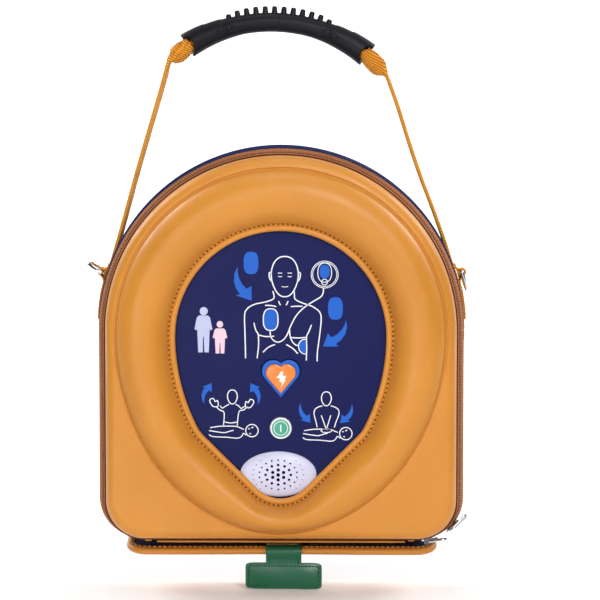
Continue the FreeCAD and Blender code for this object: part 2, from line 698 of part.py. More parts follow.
def electronics():
    """Main board with the high-voltage parts above the cartridge bay."""
    board_depth = "Sizes.aed_split + 3"
    named(box("main_board", "118", "1.6", "120", "0", board_depth, "-20"), "main_board")
    chips = [
        box("processor", "14", "1.4", "14", "-20", f"{board_depth} + 1.6", "10"),
        box("memory", "10", "1.2", "8", "6", f"{board_depth} + 1.6", "12"),
        box("driver", "12", "1.6", "10", "30", f"{board_depth} + 1.6", "2"),
        box("gate_array", "12", "1.2", "12", "-32", f"{board_depth} + 1.6", "-40"),
    ]
    named(group("board_chips", chips), "board_chips")
    named(cylinder("hv_capacitor", "11.5", "62", ("-46", "22", "8"), "right"), "hv_capacitor")
    coil = box("transformer_coil", "26", "18", "16", "34", "13", "6")
    core = box("transformer_core", "14", "22", "26", "34", "11", "6")
    named(fuse("hv_transformer", coil, core), "hv_transformer")
    named(box("discharge_relay", "24", "16", "16", "-8", "12", "38"), "discharge_relay")
    named(box("contact_block", "70", "12", "8", "0", "15", "-16.6"), "contact_block")
    pins = [cylinder(f"bay_pin_{i}", "1", "1.3", (f"{-28 + 8 * i}", "21", "-21.9"), "up")
            for i in range(8)]
    named(group("spring_pins", pins), "spring_pins")
    named(box("bay_plate", "112", "1.5", "98", "0", "Sizes.pak_rear + Sizes.pak_thick + 0.5",
              "-Sizes.aed_bottom + Sizes.aed_wall + 49.2"), "bay_plate")
    light = cylinder("status_light", "2", "11.8", ("20", f"{board_depth} + 1.6", "-Sizes.power_drop - 2"))
    named(light, "status_light")
    rails = [box(f"rail_{side}", "2.5", "Sizes.pak_thick", "92", f"{sign} * (Sizes.pak_width / 2 + 1.75)",
                 "Sizes.pak_rear", "-Sizes.aed_bottom + Sizes.aed_wall + 46.4")
             for side, sign in (("left", "-1"), ("right", "1"))]
    named(group("bay_rails", rails), "bay_rails")
    screws = []
    for i, (x, z) in enumerate(((-70, 24), (70, 24), (-34, 64), (34, 64), (-72, -40), (72, -40))):
        seat = (str(x), "Sizes.aed_rear + Sizes.aed_wall", str(z))
        shank = cylinder(f"screw_shank_{i}", "1.5", "28", seat)
        head = cylinder(f"screw_head_{i}", "2.8", "2", seat)
        screws.append(fuse(f"screw_{i}", shank, head))
    named(group("housing_screws", screws), "housing_screws")


def cartridge():
    """Battery and electrode cartridge that slides out of the bottom."""
    low = "-Sizes.aed_bottom - 0.6"
    height = "Sizes.pak_height"
    outer = box("pak_outer", "Sizes.pak_width", "Sizes.pak_thick", height, "0", "Sizes.pak_rear",
                f"{low} + ({height}) / 2")
    hollow = box("pak_hollow", "Sizes.pak_width - 4", "Sizes.pak_thick - 4", f"{height} - 4", "0",
                 "Sizes.pak_rear + 2", f"{low} + ({height}) / 2")
    named(cut("pak_housing", outer, hollow), "pak_housing")
    middle = "Sizes.pak_rear + Sizes.pak_thick / 2"
    cells = [cylinder(f"cell_{i}", "8", "34", (f"{-41.5 + 16.6 * i}", middle, f"{low} + 60"), "up")
             for i in range(6)]
    named(group("battery_cells", cells), "battery_cells")
    named(box("electrode_pouch", "94", "13", "52", "0", "Sizes.pak_rear + 4.5", f"{low} + 29.5"),
          "electrode_pouch")
    top = f"{low} + ({height}) + 0.2"
    contacts = [box(f"pak_contact_{i}", "3", "5", "0.4", f"{-28 + 8 * i}", "18.5", top)
                for i in range(8)]
    named(group("pak_contacts", contacts), "pak_contacts")
    pull = rounded_box("pak_pull", 1, "30", "10", "4", "0", "Sizes.pak_rear + 6", f"{low} - 2")
    named(pull, "pak_pull")


# ---------------------------------------------------------------- handle


def strap_line(side):
    """Foot point and direction of the webbing's middle line on one side (+1 right, -1 left)."""
    lean = {1: math.radians(20.9), -1: math.radians(15.9)}[side]
    normal = Vector(side * math.cos(lean), 0, math.sin(lean))
    along = Vector(-side * math.sin(lean), 0, math.cos(lean))
    return normal, along


def strap_point(side, height):
    """Where the webbing's middle line passes a height."""
    normal, along = strap_line(side)
    start = normal * size("Sizes.strap_offset")
    return start + along * ((height - start.z) / along.z)


def ribbon(points, thick, width, middle):
    """Band of constant thickness along points in the arch's plane, with its width along depth."""
    left, right = [], []
    for i, point in enumerate(points):
        before, after = points[max(i - 1, 0)], points[min(i + 1, len(points) - 1)]
        along = (after - before).normalize()
        across = Vector(along.z, 0, -along.x) * (thick / 2)
        left.append(point - across)
        right.append(point + across)
    outline = left + right[::-1]
    shift = Vector(0, -(middle - width / 2), 0)
    wire = Part.makePolygon([p + shift for p in outline + outline[:1]])
    return Part.Face(wire).extrude(Vector(0, -width, 0))


# ends of the grip's middle line, and where the rolled webbing fans out again (x, z)
GRIP_END = {1: Vector(54.2, 0, 170.7), -1: Vector(-59.8, 0, 176.5)}
FAN_OUT = {1: Vector(65.0, 0, 158.5), -1: Vector(-69.3, 0, 168.3)}
# comb on top of the grip: width along the bow, front to back, height; how deep it is rooted
TOOTH = (2.8, 7.0, 4.2)
TOOTH_ROOT = 3.0
TOOTH_COUNT = 12
TOOTH_PITCH = 5.5
GRIP_WALL = 2.6
# thicker collar at each end of the grip
GRIP_COLLAR = 12.0
COLLAR_RISE = 3.2


def straps(grip_solids):
    """Two webbing straps from the sides of the case to the ends of the grip."""
    width, thick = size("Sizes.strap_width"), size("Sizes.strap_thick")
    middle, pivot = size("Sizes.strap_depth"), size("Sizes.handle_pivot")
    for side, label in ((-1, "strap_left"), (1, "strap_right")):
        tip, end = GRIP_END[side], FAN_OUT[side]
        foot = strap_point(side, pivot - width / 2)
        band = ribbon([foot, strap_point(side, pivot), end], thick, width, middle)
        # the lower end is a half disc about the bending line
        disc = Part.makeCylinder(width / 2, 400, Vector(-200, -middle, pivot), Vector(1, 0, 0))
        above = Part.makeBox(400, 100, 400, Vector(-200, -middle - 50, pivot))
        band = band.common(disc.fuse(above))
        # the webbing is rolled where it enters the grip
        roll = Part.makeCone(5.8, 2.4, (end - tip).Length + 2, tip + Vector(0, -middle, 0), end - tip)
        band = band.fuse(roll)
        for solid in grip_solids:
            band = band.cut(solid)
        solid_piece(label, max(band.Solids, key=lambda s: s.Volume))
        pad_top = strap_point(side, pivot - width / 2 - 0.6)
        normal, along = strap_line(side)
        radius = size("Sizes.case_radius - Sizes.back_inset") + 0.1
        patch = curved_patch(side, radius, thick - 0.6, width, middle, pad_top.z, -8)
        solid_piece(label.replace("strap", "anchor_patch"), patch)


def curved_patch(side, radius, thick, width, middle, top, bottom):
    """Webbing sewn flat against the side wall, following the arch and then the straight side."""
    reach = radius + thick / 2
    start, end = math.asin(top / reach), math.asin(max(bottom, 0) / reach)
    points = []
    steps = 6
    for i in range(steps + 1):
        angle = start + (end - start) * i / steps
        points.append(Vector(side * reach * math.cos(angle), 0, reach * math.sin(angle)))
    if bottom < 0:
        points.append(Vector(side * reach, 0, bottom))
    return ribbon(points, thick, width, middle)


def bow():
    """Centre of the grip's bow, direction of its crown and half its angle in radians."""
    left, right = GRIP_END[-1], GRIP_END[1]
    chord = (right - left).Length
    radius = size("Sizes.grip_radius")
    across = Vector(-(right - left).z, 0, (right - left).x).normalize()
    centre = (left + right) * 0.5 - across * math.sqrt(radius ** 2 - chord ** 2 / 4)
    centre.y = -size("Sizes.strap_depth")
    return centre, across, math.asin(chord / 2 / radius)


def bow_rod(thick, start, end):
    """Round rod along the bow, between two angles from its crown."""
    centre, across, _ = bow()
    spin = Vector(0, 1, 0)
    direction = Rotation(spin, math.degrees(start)).multVec(across)
    circle = Part.Circle(centre + direction * size("Sizes.grip_radius"), spin.cross(direction), thick / 2)
    disc = Part.Face(Part.Wire(circle.toShape()))
    return disc.revolve(centre, spin, math.degrees(end - start))


def comb_tooth(angle):
    """One tooth of the comb on top of the grip, at an angle from the crown."""
    centre, across, _ = bow()
    foot = size("Sizes.grip_radius + Sizes.grip_thick / 2") - TOOTH_ROOT
    wide, deep, tall = TOOTH
    tooth = Part.makeBox(wide, deep, tall + TOOTH_ROOT, Vector(-wide / 2, -deep / 2, foot))
    top = foot + TOOTH_ROOT + tall
    tooth = tooth.makeFillet(0.9, [e for e in tooth.Edges if e.BoundBox.ZMin > top - 0.1])
    turn = Rotation(Vector(0, 1, 0), math.degrees(angle)).multiply(Rotation(Vector(0, 0, 1), across))
    tooth.Placement = Placement(centre, turn)
    return tooth


def grip():
    """Bowed rubber grip with comb teeth, and the rolled webbing that runs through it."""
    _, _, half_angle = bow()
    radius, thick = size("Sizes.grip_radius"), size("Sizes.grip_thick")
    bore = thick - 2 * GRIP_WALL
    collar = GRIP_COLLAR / radius
    solid = bow_rod(thick, -half_angle, half_angle)
    for start in (-half_angle, half_angle - collar):
        solid = solid.fuse(bow_rod(thick + COLLAR_RISE, start, start + collar))
    for i in range(TOOTH_COUNT):
        solid = solid.fuse(comb_tooth((i - (TOOTH_COUNT - 1) / 2) * TOOTH_PITCH / radius))
    past = 0.02
    solid = solid.cut(bow_rod(bore, -half_angle - past, half_angle + past)).removeSplitter()
    solid_piece("grip", solid)
    core = bow_rod(bore - 0.8, -half_angle, half_angle)
    solid_piece("grip_core_webbing", core)
    return solid, core


# ---------------------------------------------------------------- D-rings


def ring_eye(side):
    """Middle of the D-ring's bar."""
    radius = size("Sizes.case_radius - Sizes.back_inset") + 4.9
    height = 34.0
    return Vector(side * math.sqrt((radius + 1) ** 2 - height ** 2), -size("Sizes.strap_depth"), height)


def d_ring(side, degrees):
    """D-ring about its bar; degrees is the direction of its tip, 0 along +X, 90 up."""
    wire = size("Sizes.ring_wire") / 2
    half = size("Sizes.ring_inner") / 2 + wire
    leg = size("Sizes.ring_reach") - wire - half
    corners = [Vector(0, -half, 0), Vector(leg, -half, 0), Vector(leg + half, 0, 0), Vector(leg, half, 0),
               Vector(0, half, 0)]
    path = Part.Wire([Part.LineSegment(corners[0], corners[1]).toShape(),
                      Part.Arc(corners[1], corners[2], corners[3]).toShape(),
                      Part.LineSegment(corners[3], corners[4]).toShape()])
    section = Part.Wire(Part.Circle(corners[0], Vector(1, 0, 0), wire).toShape())
    ring = path.makePipeShell([section], True, True)
    for corner in (corners[0], corners[4]):
        ring = ring.fuse(Part.makeSphere(wire, corner))
    ring = ring.fuse(Part.makeCylinder(wire, 2 * half, corners[0], Vector(0, 1, 0)))
    place = Placement(ring_eye(side), Rotation(Vector(0, -1, 0), degrees))
    solid_piece("d_ring_left" if side < 0 else "d_ring_right", ring.removeSplitter(), place)


def ring_loop(side):
    """Webbing loop that holds the D-ring's bar, with its legs sewn over the anchor patch."""
    eye = ring_eye(side)
    wire = size("Sizes.ring_wire") / 2 + 0.3
    thick = 0.8
    width = 14.0
    start = eye - Vector(0, width / 2, 0)
    sleeve = Part.makeCylinder(wire + thick, width, start, Vector(0, 1, 0))
    inner = Part.makeCylinder(wire, width + 2, start - Vector(0, 1, 0), Vector(0, 1, 0))
    # the legs lie just outside the anchor patch
    radius = size("Sizes.case_radius - Sizes.back_inset + Sizes.strap_thick") - 0.42
    legs = curved_patch(side, radius, 2 * thick, width, size("Sizes.strap_depth"), eye.z - wire, 4)
    loop = sleeve.fuse(legs).cut(inner).removeSplitter()
    solid_piece("ring_loop_left" if side < 0 else "ring_loop_right", loop)


# ---------------------------------------------------------------- flap, tab and zipper hardware


def flap_direction():
    """Unit vector from the flap's hinge towards its front edge."""
    droop = math.radians(size("Sizes.flap_droop"))
    return Vector(0, -math.cos(droop), -math.sin(droop))


def flap_point(distance, above=0):
    """Point on the flap's middle plane at a distance from its hinge line."""
    along = flap_direction()
    lift = Vector(0, along.z, -along.y)
    origin = Vector(0, -size("Sizes.flap_hinge_depth"), -size("Sizes.flap_hinge_drop"))
    return origin + along * distance + lift * above


def flap_slab(width, start, end, low, high, corner=0):
    """Slab on the flap's plane, from start to end along it."""
    slab = Part.makeBox(width, end - start, high - low, Vector(-width / 2, start, low))
    if corner:
        upright = [e for e in slab.Edges if e.BoundBox.ZLength > (high - low) * 0.9]
        slab = slab.makeFillet(corner, [e for e in upright if e.BoundBox.YMin > end - 1])
    origin = flap_point(0)
    turn = Rotation(Vector(-1, 0, 0), flap_direction(), Vector(), "XYZ")
    slab.Placement = Placement(origin, turn)
    return slab


def flap():
    """Bottom flap in two parts, with its living hinge and hook-and-loop closure."""
    width, length = size("Sizes.flap_width"), size("Sizes.flap_length")
    half = size("Sizes.flap_thick") / 2
    strip = 8.0
    solid_piece("flap_hinge_strip", flap_slab(width - 4, 1.6, strip - 0.4, 0.6 - half, half - 0.6))
    solid_piece("bottom_flap", flap_slab(width, strip + 1, length, -half, half, corner=14))
    hooks = []
    for shift in (-30, 33):
        patch = flap_slab(30, length - 13, length - 5, half, half + 0.9)
        patch.translate(Vector(shift, 0, 0))
        hooks.append(patch)
    solid_piece("flap_hook_patch", Part.makeCompound(hooks))
    loops = box("loop_patch_blank", "96", "4", "0.9", "0", "34.7",
                "-Sizes.case_drop + Sizes.back_inset - 0.47")
    named(loops, "case_loop_patch")


def pull_tab():
    """Webbing T: sewn on top of the flap, folded over its front edge and hanging down."""
    thick, stem, middle = size("Sizes.tab_thick"), size("Sizes.tab_stem"), 1.5
    half = size("Sizes.flap_thick") / 2
    length = size("Sizes.flap_length")
    top = flap_slab(stem, length - 13, length + 0.4, half, half + 1.4)
    front = flap_slab(stem, length + 0.4, length + 2.2, -0.3, half + 1.4)
    root = top.fuse(front).removeSplitter()
    shift = Placement(Vector(middle, 0, 0), Rotation())
    solid_piece("pull_tab_root", root.copy(), shift)
    pivot = tab_pivot()
    bar_top = -149.4
    stem_top = pivot.z - 0.6
    solid_piece("pull_tab_stem", Part.makeBox(stem, thick, stem_top - bar_top,
                                              Vector(middle - stem / 2, pivot.y - thick / 2, bar_top)))
    width, height = size("Sizes.tab_bar_width"), size("Sizes.tab_bar_height")
    bar = Part.makeBox(width, thick + 0.6, height, Vector(middle - width / 2, pivot.y - thick / 2 - 0.3,
                                                          bar_top - height))
    edges = [e for e in bar.Edges if abs(e.BoundBox.YMax - e.BoundBox.YMin) > thick]
    solid_piece("pull_tab_bar", bar.makeFillet(2, edges))


def tab_pivot():
    """Bending line of the tab, below the flap's front edge."""
    return flap_point(size("Sizes.flap_length") + 1.3, -size("Sizes.flap_thick") / 2 - 0.5)


# degrees that a parked slider can slip back towards the bottom
SLIDER_PLAY = 4.0


def taper_share(degrees):
    """Share of the band's taper at a place on a bottom corner, 0 at the side and -90 at the bottom."""
    bottom = size("Sizes.bottom_share")
    return bottom + (1 - bottom) * math.cos(math.radians(degrees))


def zip_slider(label, degrees, pull_turn):
    """Slider that wraps the closed coils at a place on the right bottom corner, with its pull."""
    corner = size("Sizes.case_corner")
    centre = Vector(size("Sizes.case_radius") - corner, 0, -(size("Sizes.case_drop") - corner))
    middle = size("Sizes.seam_depth + Sizes.slider_setback")
    slope = size("Sizes.band_taper / Sizes.band_depth") * taper_share(degrees - SLIDER_PLAY)
    surface = corner - size("Sizes.slider_setback") * slope
    # local frame: X along the track, Y forward depth, Z out of the case
    lift = surface + 0.75
    base = Part.makeBox(11, 5.2, 1.2, Vector(-5.5, -2.6, lift))
    base = base.makeFillet(1.8, [e for e in base.Edges if e.BoundBox.ZMax - e.BoundBox.ZMin > 1])
    bridge = Part.makeBox(7, 2.2, 2.4, Vector(-3.5, -1.1, lift + 1.1))
    tunnel = Part.makeCylinder(0.9, 6, Vector(0, -3, lift + 2.1), Vector(0, 1, 0))
    body = base.fuse(bridge).cut(tunnel).removeSplitter()
    place = Placement(Vector(centre.x, -middle, centre.z), Rotation(Vector(0, 1, 0), 90 - degrees))
    tilt = Placement(Vector(), Rotation(Vector(1, 0, 0), math.degrees(math.atan(slope))))
    hub = Placement(Vector(0, 0, lift), Rotation())
    leaned = place.multiply(hub).multiply(tilt).multiply(hub.inverse())
    solid_piece(label, body, leaned)
    # oval pull on the bridge, its bar through the tunnel
    bar = Part.makeCylinder(0.7, 6, Vector(0, -3, 0), Vector(0, 1, 0))
    half_width, length = 3.0, 11.0
    points = [Vector(0, -half_width, 0), Vector(half_width - length, -half_width, 0), Vector(-length, 0, 0),
              Vector(half_width - length, half_width, 0), Vector(0, half_width, 0)]
    path = Part.Wire([Part.LineSegment(points[0], points[1]).toShape(),
                      Part.Arc(points[1], points[2], points[3]).toShape(),
                      Part.LineSegment(points[3], points[4]).toShape()])
    section = Part.Wire(Part.Circle(points[0], points[1] - points[0], 0.7).toShape())
    pull = path.makePipeShell([section], True, True)
    for end in (points[0], points[4]):
        pull = pull.fuse(Part.makeSphere(0.7, end))
    pull = pull.fuse(bar)
    hinge = Placement(Vector(0, 0, lift + 2.1), Rotation(Vector(0, 1, 0), pull_turn))
    solid_piece(label.replace("slider", "pull"), pull.removeSplitter(), leaned.multiply(hinge))


def zip_end_tabs():
    """Leather tabs that close the two ends of the zipper beside the bottom hinge."""
    for label, x in (("zip_end_tab_left", -84), ("zip_end_tab_right", 82)):
        named(box(label, "3", "4", "2", str(x), "Sizes.seam_depth - 0.5", "-Sizes.case_drop - 1.05"), label)


def back_panel():
    """Hard-wearing panel let into the back wall, flush with it."""
    panel = box("back_panel", "Sizes.panel_width", "Sizes.panel_thick", "Sizes.panel_height", "0", "0",
                "-Sizes.panel_drop")
    named(panel, "back_panel")


def hinge_gusset():
    """Leatherette strip that joins cover and back shell along the bottom."""
    named(box("hinge_gusset", "150", "7", "1", "0", "Sizes.seam_depth - 3", "-Sizes.case_drop - 0.52"),
          "hinge_gusset")


# ---------------------------------------------------------------- build and write


def build():
    """Make every sub-part."""
    back_shell()
    back_panel()
    foam_cradle()
    zipper()
    front_shell()
    window_rim()
    front_piping()
    aed_rear_housing()
    aed_front_housing()
    housing_gasket()
    membrane_label()
    buttons()
    speaker()
    electronics()
    cartridge()
    straps(grip())
    for side, degrees in ((-1, 147.5), (1, -74)):
        ring_loop(side)
        d_ring(side, degrees)
    flap()
    pull_tab()
    zip_slider("zip_slider_a", -43, 0)
    zip_slider("zip_slider_b", -82, 0)
    zip_end_tabs()
    hinge_gusset()
    doc.recompute()


def write():
    """Check every object, then write one STEP file for each node."""
    failed = [o.Name for o in doc.Objects if "Invalid" in o.State or "Error" in o.State]
    if failed:
        raise SystemExit(f"failed objects: {failed}")
    for piece in pieces:
        shape = piece.Shape
        if shape.isNull() or not shape.isValid() or not shape.Solids:
            raise SystemExit(f"{piece.Label} has no valid solid")
    os.makedirs("parts", exist_ok=True)
    for piece in pieces:
        piece.Shape.exportStep(f"parts/{piece.Label}.step")
        print(f"{piece.Label}: {len(piece.Shape.Solids)} solid(s), {piece.Shape.Volume / 1000:.2f} cm3")


build()
write()
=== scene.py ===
"""Looks of the defibrillator in its arched carry case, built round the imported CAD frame.

Row frame: +X right, +Z up, the front faces -Y. Shapes are worked out in millimetres as
(x, depth, z), where depth is the distance in front of the back face, and scaled to metres.
"""

import json
import math
import random

import bpy
import bmesh
import numpy as np
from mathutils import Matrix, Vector


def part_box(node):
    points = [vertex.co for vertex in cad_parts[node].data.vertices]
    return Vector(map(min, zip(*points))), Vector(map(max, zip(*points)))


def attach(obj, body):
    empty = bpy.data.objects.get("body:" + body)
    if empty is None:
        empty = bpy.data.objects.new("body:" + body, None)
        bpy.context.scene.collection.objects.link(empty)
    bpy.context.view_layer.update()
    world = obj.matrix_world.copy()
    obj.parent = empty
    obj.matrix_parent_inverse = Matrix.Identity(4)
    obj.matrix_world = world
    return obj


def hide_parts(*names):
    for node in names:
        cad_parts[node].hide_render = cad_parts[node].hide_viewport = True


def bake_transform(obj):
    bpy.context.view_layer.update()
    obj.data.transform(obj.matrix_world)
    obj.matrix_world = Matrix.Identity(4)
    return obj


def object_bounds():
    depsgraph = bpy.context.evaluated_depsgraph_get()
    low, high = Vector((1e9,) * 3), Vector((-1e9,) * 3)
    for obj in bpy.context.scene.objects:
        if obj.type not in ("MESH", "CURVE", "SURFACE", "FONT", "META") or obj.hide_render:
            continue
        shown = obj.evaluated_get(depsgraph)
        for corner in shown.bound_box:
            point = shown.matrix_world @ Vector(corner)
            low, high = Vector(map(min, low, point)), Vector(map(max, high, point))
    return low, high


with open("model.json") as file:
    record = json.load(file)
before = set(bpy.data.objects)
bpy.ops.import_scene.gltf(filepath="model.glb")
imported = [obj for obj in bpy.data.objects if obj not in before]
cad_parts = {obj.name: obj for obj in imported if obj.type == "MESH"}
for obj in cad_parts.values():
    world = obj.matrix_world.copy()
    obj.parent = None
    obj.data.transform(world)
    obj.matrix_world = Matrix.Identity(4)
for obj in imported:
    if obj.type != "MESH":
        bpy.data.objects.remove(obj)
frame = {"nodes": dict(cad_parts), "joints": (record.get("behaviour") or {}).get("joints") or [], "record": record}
cad_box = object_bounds()
rng = random.Random(7)

MM = 0.001
LINES_ROUND = 720      # sections round the case
HUB = (0.0, -15.0)     # x, z of the point that the shells are lofted about


def span(node, axis):
    """Lowest and highest coordinate of a CAD node along an axis, in millimetres."""
    low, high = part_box(node)
    return low[axis] / MM, high[axis] / MM


# ---------------------------------------------------------------- sizes, from the frame

CASE_RADIUS = span("rear_zip_tape", 0)[1]
CASE_DROP = -span("rear_zip_tape", 2)[0]
SEAM_DEPTH = -span("rear_zip_tape", 1)[1]
RIM_DEPTH = -span("front_zip_tape", 1)[0]
CREST_DEPTH = -span("front_shell", 1)[0]
LABEL_DEPTH = -span("front_label", 1)[0]
BUTTON_FACE = LABEL_DEPTH + 0.9
SHELL_INSET = 1.7      # the tape stands out this far from the shells
SHELL_RADIUS = CASE_RADIUS - SHELL_INSET
CASE_CORNER = 25.0     # radius of the bottom corners
BAND_SLOPE = 0.5       # the zipper band draws in by this much for each millimetre towards the front
BOTTOM_SHARE = 0.14    # share of that slope at the bottom
BORDER_DEPTH = 61.5    # flat border of the cover, round its raised ring
BAND_SAG = 2.2         # the padded halves pull the zipper down at the crown
STRAP_DEPTH = 21.0     # middle of the handle's webbing and grip
WEB_HALF_WIDTH = 12.5
WEB_HALF_THICK = 1.2
WEB_GAP = 0.15         # between the shell's side and the webbing sewn to it
FLAP_DROOP = math.radians(11.0)
FLAP_HINGE = (3.2, -135.2)   # depth, z
FLAP_HALF_WIDTH = 99.0
FLAP_LENGTH = 40.0
TAB_CENTRE = 1.5
TAB_TILT = 0.012       # slope of the tab's cross bar


def at(x, depth, z):
    """Point in the row frame, in metres."""
    return Vector((x * MM, -depth * MM, z * MM))


# ---------------------------------------------------------------- outlines in the case's plane


def arc(cx, cz, radius, start, end, step=0.5):
    """Points (x, z) on an arc between two angles in degrees."""
    count = max(3, int(abs(math.radians(end - start)) * radius / step) + 1)
    turn = np.radians(np.linspace(start, end, count))
    return np.column_stack((cx + radius * np.cos(turn), cz + radius * np.sin(turn)))


def closed_outline(right_half):
    """Whole outline from its right half, listed from the top to the bottom."""
    left_half = right_half[::-1] * (-1, 1)
    return np.vstack((right_half[:-1], left_half[:-1]))


def arch_outline(radius, drop, corner, sag=0.0):
    """Half circle on upright sides with rounded bottom corners; sag lowers the half circle."""
    side = np.column_stack((np.full(200, radius), np.linspace(-sag, corner - drop, 200)))
    base = np.column_stack((np.linspace(radius - corner, 0, 200), np.full(200, -drop)))
    return closed_outline(np.vstack((
        arc(0, -sag, radius, 90, 0), side, arc(radius - corner, corner - drop, corner, 0, -90), base)))


def seam_outline(depth, inset=0.0):
    """Surface of the zipper band at a depth: it draws in towards the front."""
    taper = (depth - SEAM_DEPTH) * BAND_SLOPE
    low = taper * BOTTOM_SHARE + inset
    sag = BAND_SAG - 0.08 * (depth - SEAM_DEPTH)
    return arch_outline(CASE_RADIUS - taper - inset, CASE_DROP - low, CASE_CORNER - low, sag)


def window_outline(outset):
    """Shield shape of the case window, set outwards."""
    axis_z, tip_z = -4.2, -85.5
    top, side, tip = 65.7 + outset, 125.0 + outset, 20.5 + outset
    turn, slant = math.radians(27), math.radians(45)
    side_x = top - side
    side_end = np.array((side_x + side * math.cos(turn), axis_z - side * math.sin(turn)))
    tip_start = np.array((tip * math.cos(slant), tip_z - tip * math.sin(slant)))
    normal = np.array((math.cos(turn), -math.sin(turn)))
    slant_normal = np.array((math.cos(slant), -math.sin(slant)))
    knee = -(side_end - tip_start).dot(slant_normal) / (1 - normal.dot(slant_normal))
    knee_centre = side_end - normal * knee
    knee_end = knee_centre + slant_normal * knee
    slope = np.linspace(knee_end, tip_start, 60)
    return closed_outline(np.vstack((
        arc(0, axis_z, top, 90, 0), arc(side_x, axis_z, side, 0, -27),
        arc(*knee_centre, knee, -27, -45), slope, arc(0, tip_z, tip, -45, -90))))


def ring_foot_outline():
    """Outer foot of the raised ring: a half circle above a taller half ellipse."""
    turn = np.radians(np.linspace(90, -90, 500))
    tall = np.where(turn > 0, 103.0, 123.8)
    return closed_outline(np.column_stack((103.0 * np.cos(turn), -3.0 + tall * np.sin(turn))))


TURN = np.linspace(0, 2 * math.pi, LINES_ROUND, endpoint=False)


def reach(outline):
    """Distance of an outline from the hub, in each of the directions of TURN."""
    x, z = outline[:, 0] - HUB[0], outline[:, 1] - HUB[1]
    angle = np.mod(np.arctan2(z, x), 2 * math.pi)
    order = np.argsort(angle)
    return np.interp(TURN, angle[order], np.hypot(x, z)[order], period=2 * math.pi)


def run_lengths(path):
    """Length of a path up to each of its points."""
    return np.concatenate(([0], np.cumsum(np.hypot(*np.diff(path, axis=0).T))))


def spaced(outline, pitch, closed=True):
    """Evenly spaced points of an outline with their unit tangents."""
    path = np.vstack((outline, outline[:1])) if closed else np.asarray(outline, float)
    length = run_lengths(path)

    def on_path(stops):
        if closed:
            stops = np.mod(stops, length[-1])
        return np.column_stack([np.interp(stops, length, path[:, k]) for k in (0, 1)])

    count = max(2, int(round(length[-1] / pitch)))
    stops = np.linspace(0, length[-1], count, endpoint=not closed)
    near = 0.4
    tangent = on_path(stops + near) - on_path(stops - near)
    return on_path(stops), tangent / np.linalg.norm(tangent, axis=1)[:, None]


def smooth_line(points, closed=False, steps=6):
    """Catmull-Rom curve through points of any dimension."""
    points = np.asarray(points, float)
    count = len(points)
    curve = []
    for i in range(count if closed else count - 1):
        near = [(i + k) % count if closed else min(max(i + k, 0), count - 1) for k in (-1, 0, 1, 2)]
        p0, p1, p2, p3 = points[near]
        for step in range(steps):
            u = step / steps
            curve.append(0.5 * (2 * p1 + (p2 - p0) * u + (2 * p0 - 5 * p1 + 4 * p2 - p3) * u ** 2
                                + (3 * p1 - p0 - 3 * p2 + p3) * u ** 3))
    if not closed:
        curve.append(points[-1])
    return np.array(curve)


def smoothstep(value):
    """0 below 0, 1 above 1 and a soft S between."""
    value = np.clip(value, 0, 1)
    return value * value * (3 - 2 * value)


# ---------------------------------------------------------------- meshes


def new_object(name, data):
    """Object in the scene for a mesh, lamp or camera."""
    item = bpy.data.objects.new(name, data)
    bpy.context.scene.collection.objects.link(item)
    return item


def add_mesh(name, vertices, faces, smooth=True):
    """Object from vertices in metres."""
    data = bpy.data.meshes.new(name)
    data.from_pydata([tuple(v) for v in vertices], [], [tuple(f) for f in faces])
    data.validate()
    data.shade_smooth() if smooth else data.shade_flat()
    return new_object(name, data)


def outwards(item):
    """Consistent normals that point out of a closed mesh."""
    mesh = bmesh.new()
    mesh.from_mesh(item.data)
    bmesh.ops.recalc_face_normals(mesh, faces=mesh.faces)
    mesh.to_mesh(item.data)
    mesh.free()
    return item


def sharpen(item, degrees=40):
    """Keep edges sharper than an angle crisp while the rest is shaded smooth."""
    item.data.shade_smooth()
    item.data.set_sharp_from_angle(angle=math.radians(degrees))
    return item


def grid_faces(rows, columns, close_rows, close_columns):
    """Quads over a grid of vertices, wrapped round where it is closed."""
    faces = []
    for i in range(rows if close_rows else rows - 1):
        row, next_row = i * columns, ((i + 1) % rows) * columns
        for j in range(columns if close_columns else columns - 1):
            after = (j + 1) % columns
            faces.append((row + j, row + after, next_row + after, next_row + j))
    return faces


def loft_round(name, stations, capped=False):
    """Shell lofted about the hub. A station is (distances from the hub, depth).
    Open sections are capped with a point at the hub at both ends."""
    radii = np.column_stack([np.broadcast_to(r, TURN.shape) for r, _ in stations])
    depths = np.column_stack([np.broadcast_to(d, TURN.shape) for _, d in stations])
    x = HUB[0] + radii * np.cos(TURN)[:, None]
    z = HUB[1] + radii * np.sin(TURN)[:, None]
    vertices = np.stack((x, -depths, z), axis=-1).reshape(-1, 3) * MM
    columns = len(stations)
    faces = grid_faces(LINES_ROUND, columns, True, not capped)
    if capped:
        ends = [at(HUB[0], float(depths[:, k].mean()), HUB[1]) for k in (0, -1)]
        vertices = np.vstack((vertices, ends))
        centre = LINES_ROUND * columns
        for i in range(LINES_ROUND):
            after = (i + 1) % LINES_ROUND
            faces.append((centre, i * columns, after * columns))
            faces.append((centre + 1, after * columns + columns - 1, i * columns + columns - 1))
    return outwards(add_mesh(name, vertices, faces))


def tube_sections(sections, closed=False):
    """Vertices and faces of a tube through loops of points, capped at open ends."""
    rows, columns = len(sections), len(sections[0])
    vertices = np.asarray(sections, float).reshape(-1, 3)
    faces = grid_faces(rows, columns, closed, True)
    if not closed:
        faces.append(tuple(range(columns))[::-1])
        faces.append(tuple((rows - 1) * columns + k for k in range(columns)))
    return vertices, faces


def joined(name, parts, smooth=True):
    """One object from several (vertices, faces) pairs."""
    vertices, faces = [], []
    for part_vertices, part_faces in parts:
        start = len(vertices)
        vertices.extend(part_vertices)
        faces.extend(tuple(start + k for k in face) for face in part_faces)
    return outwards(add_mesh(name, vertices, faces, smooth))


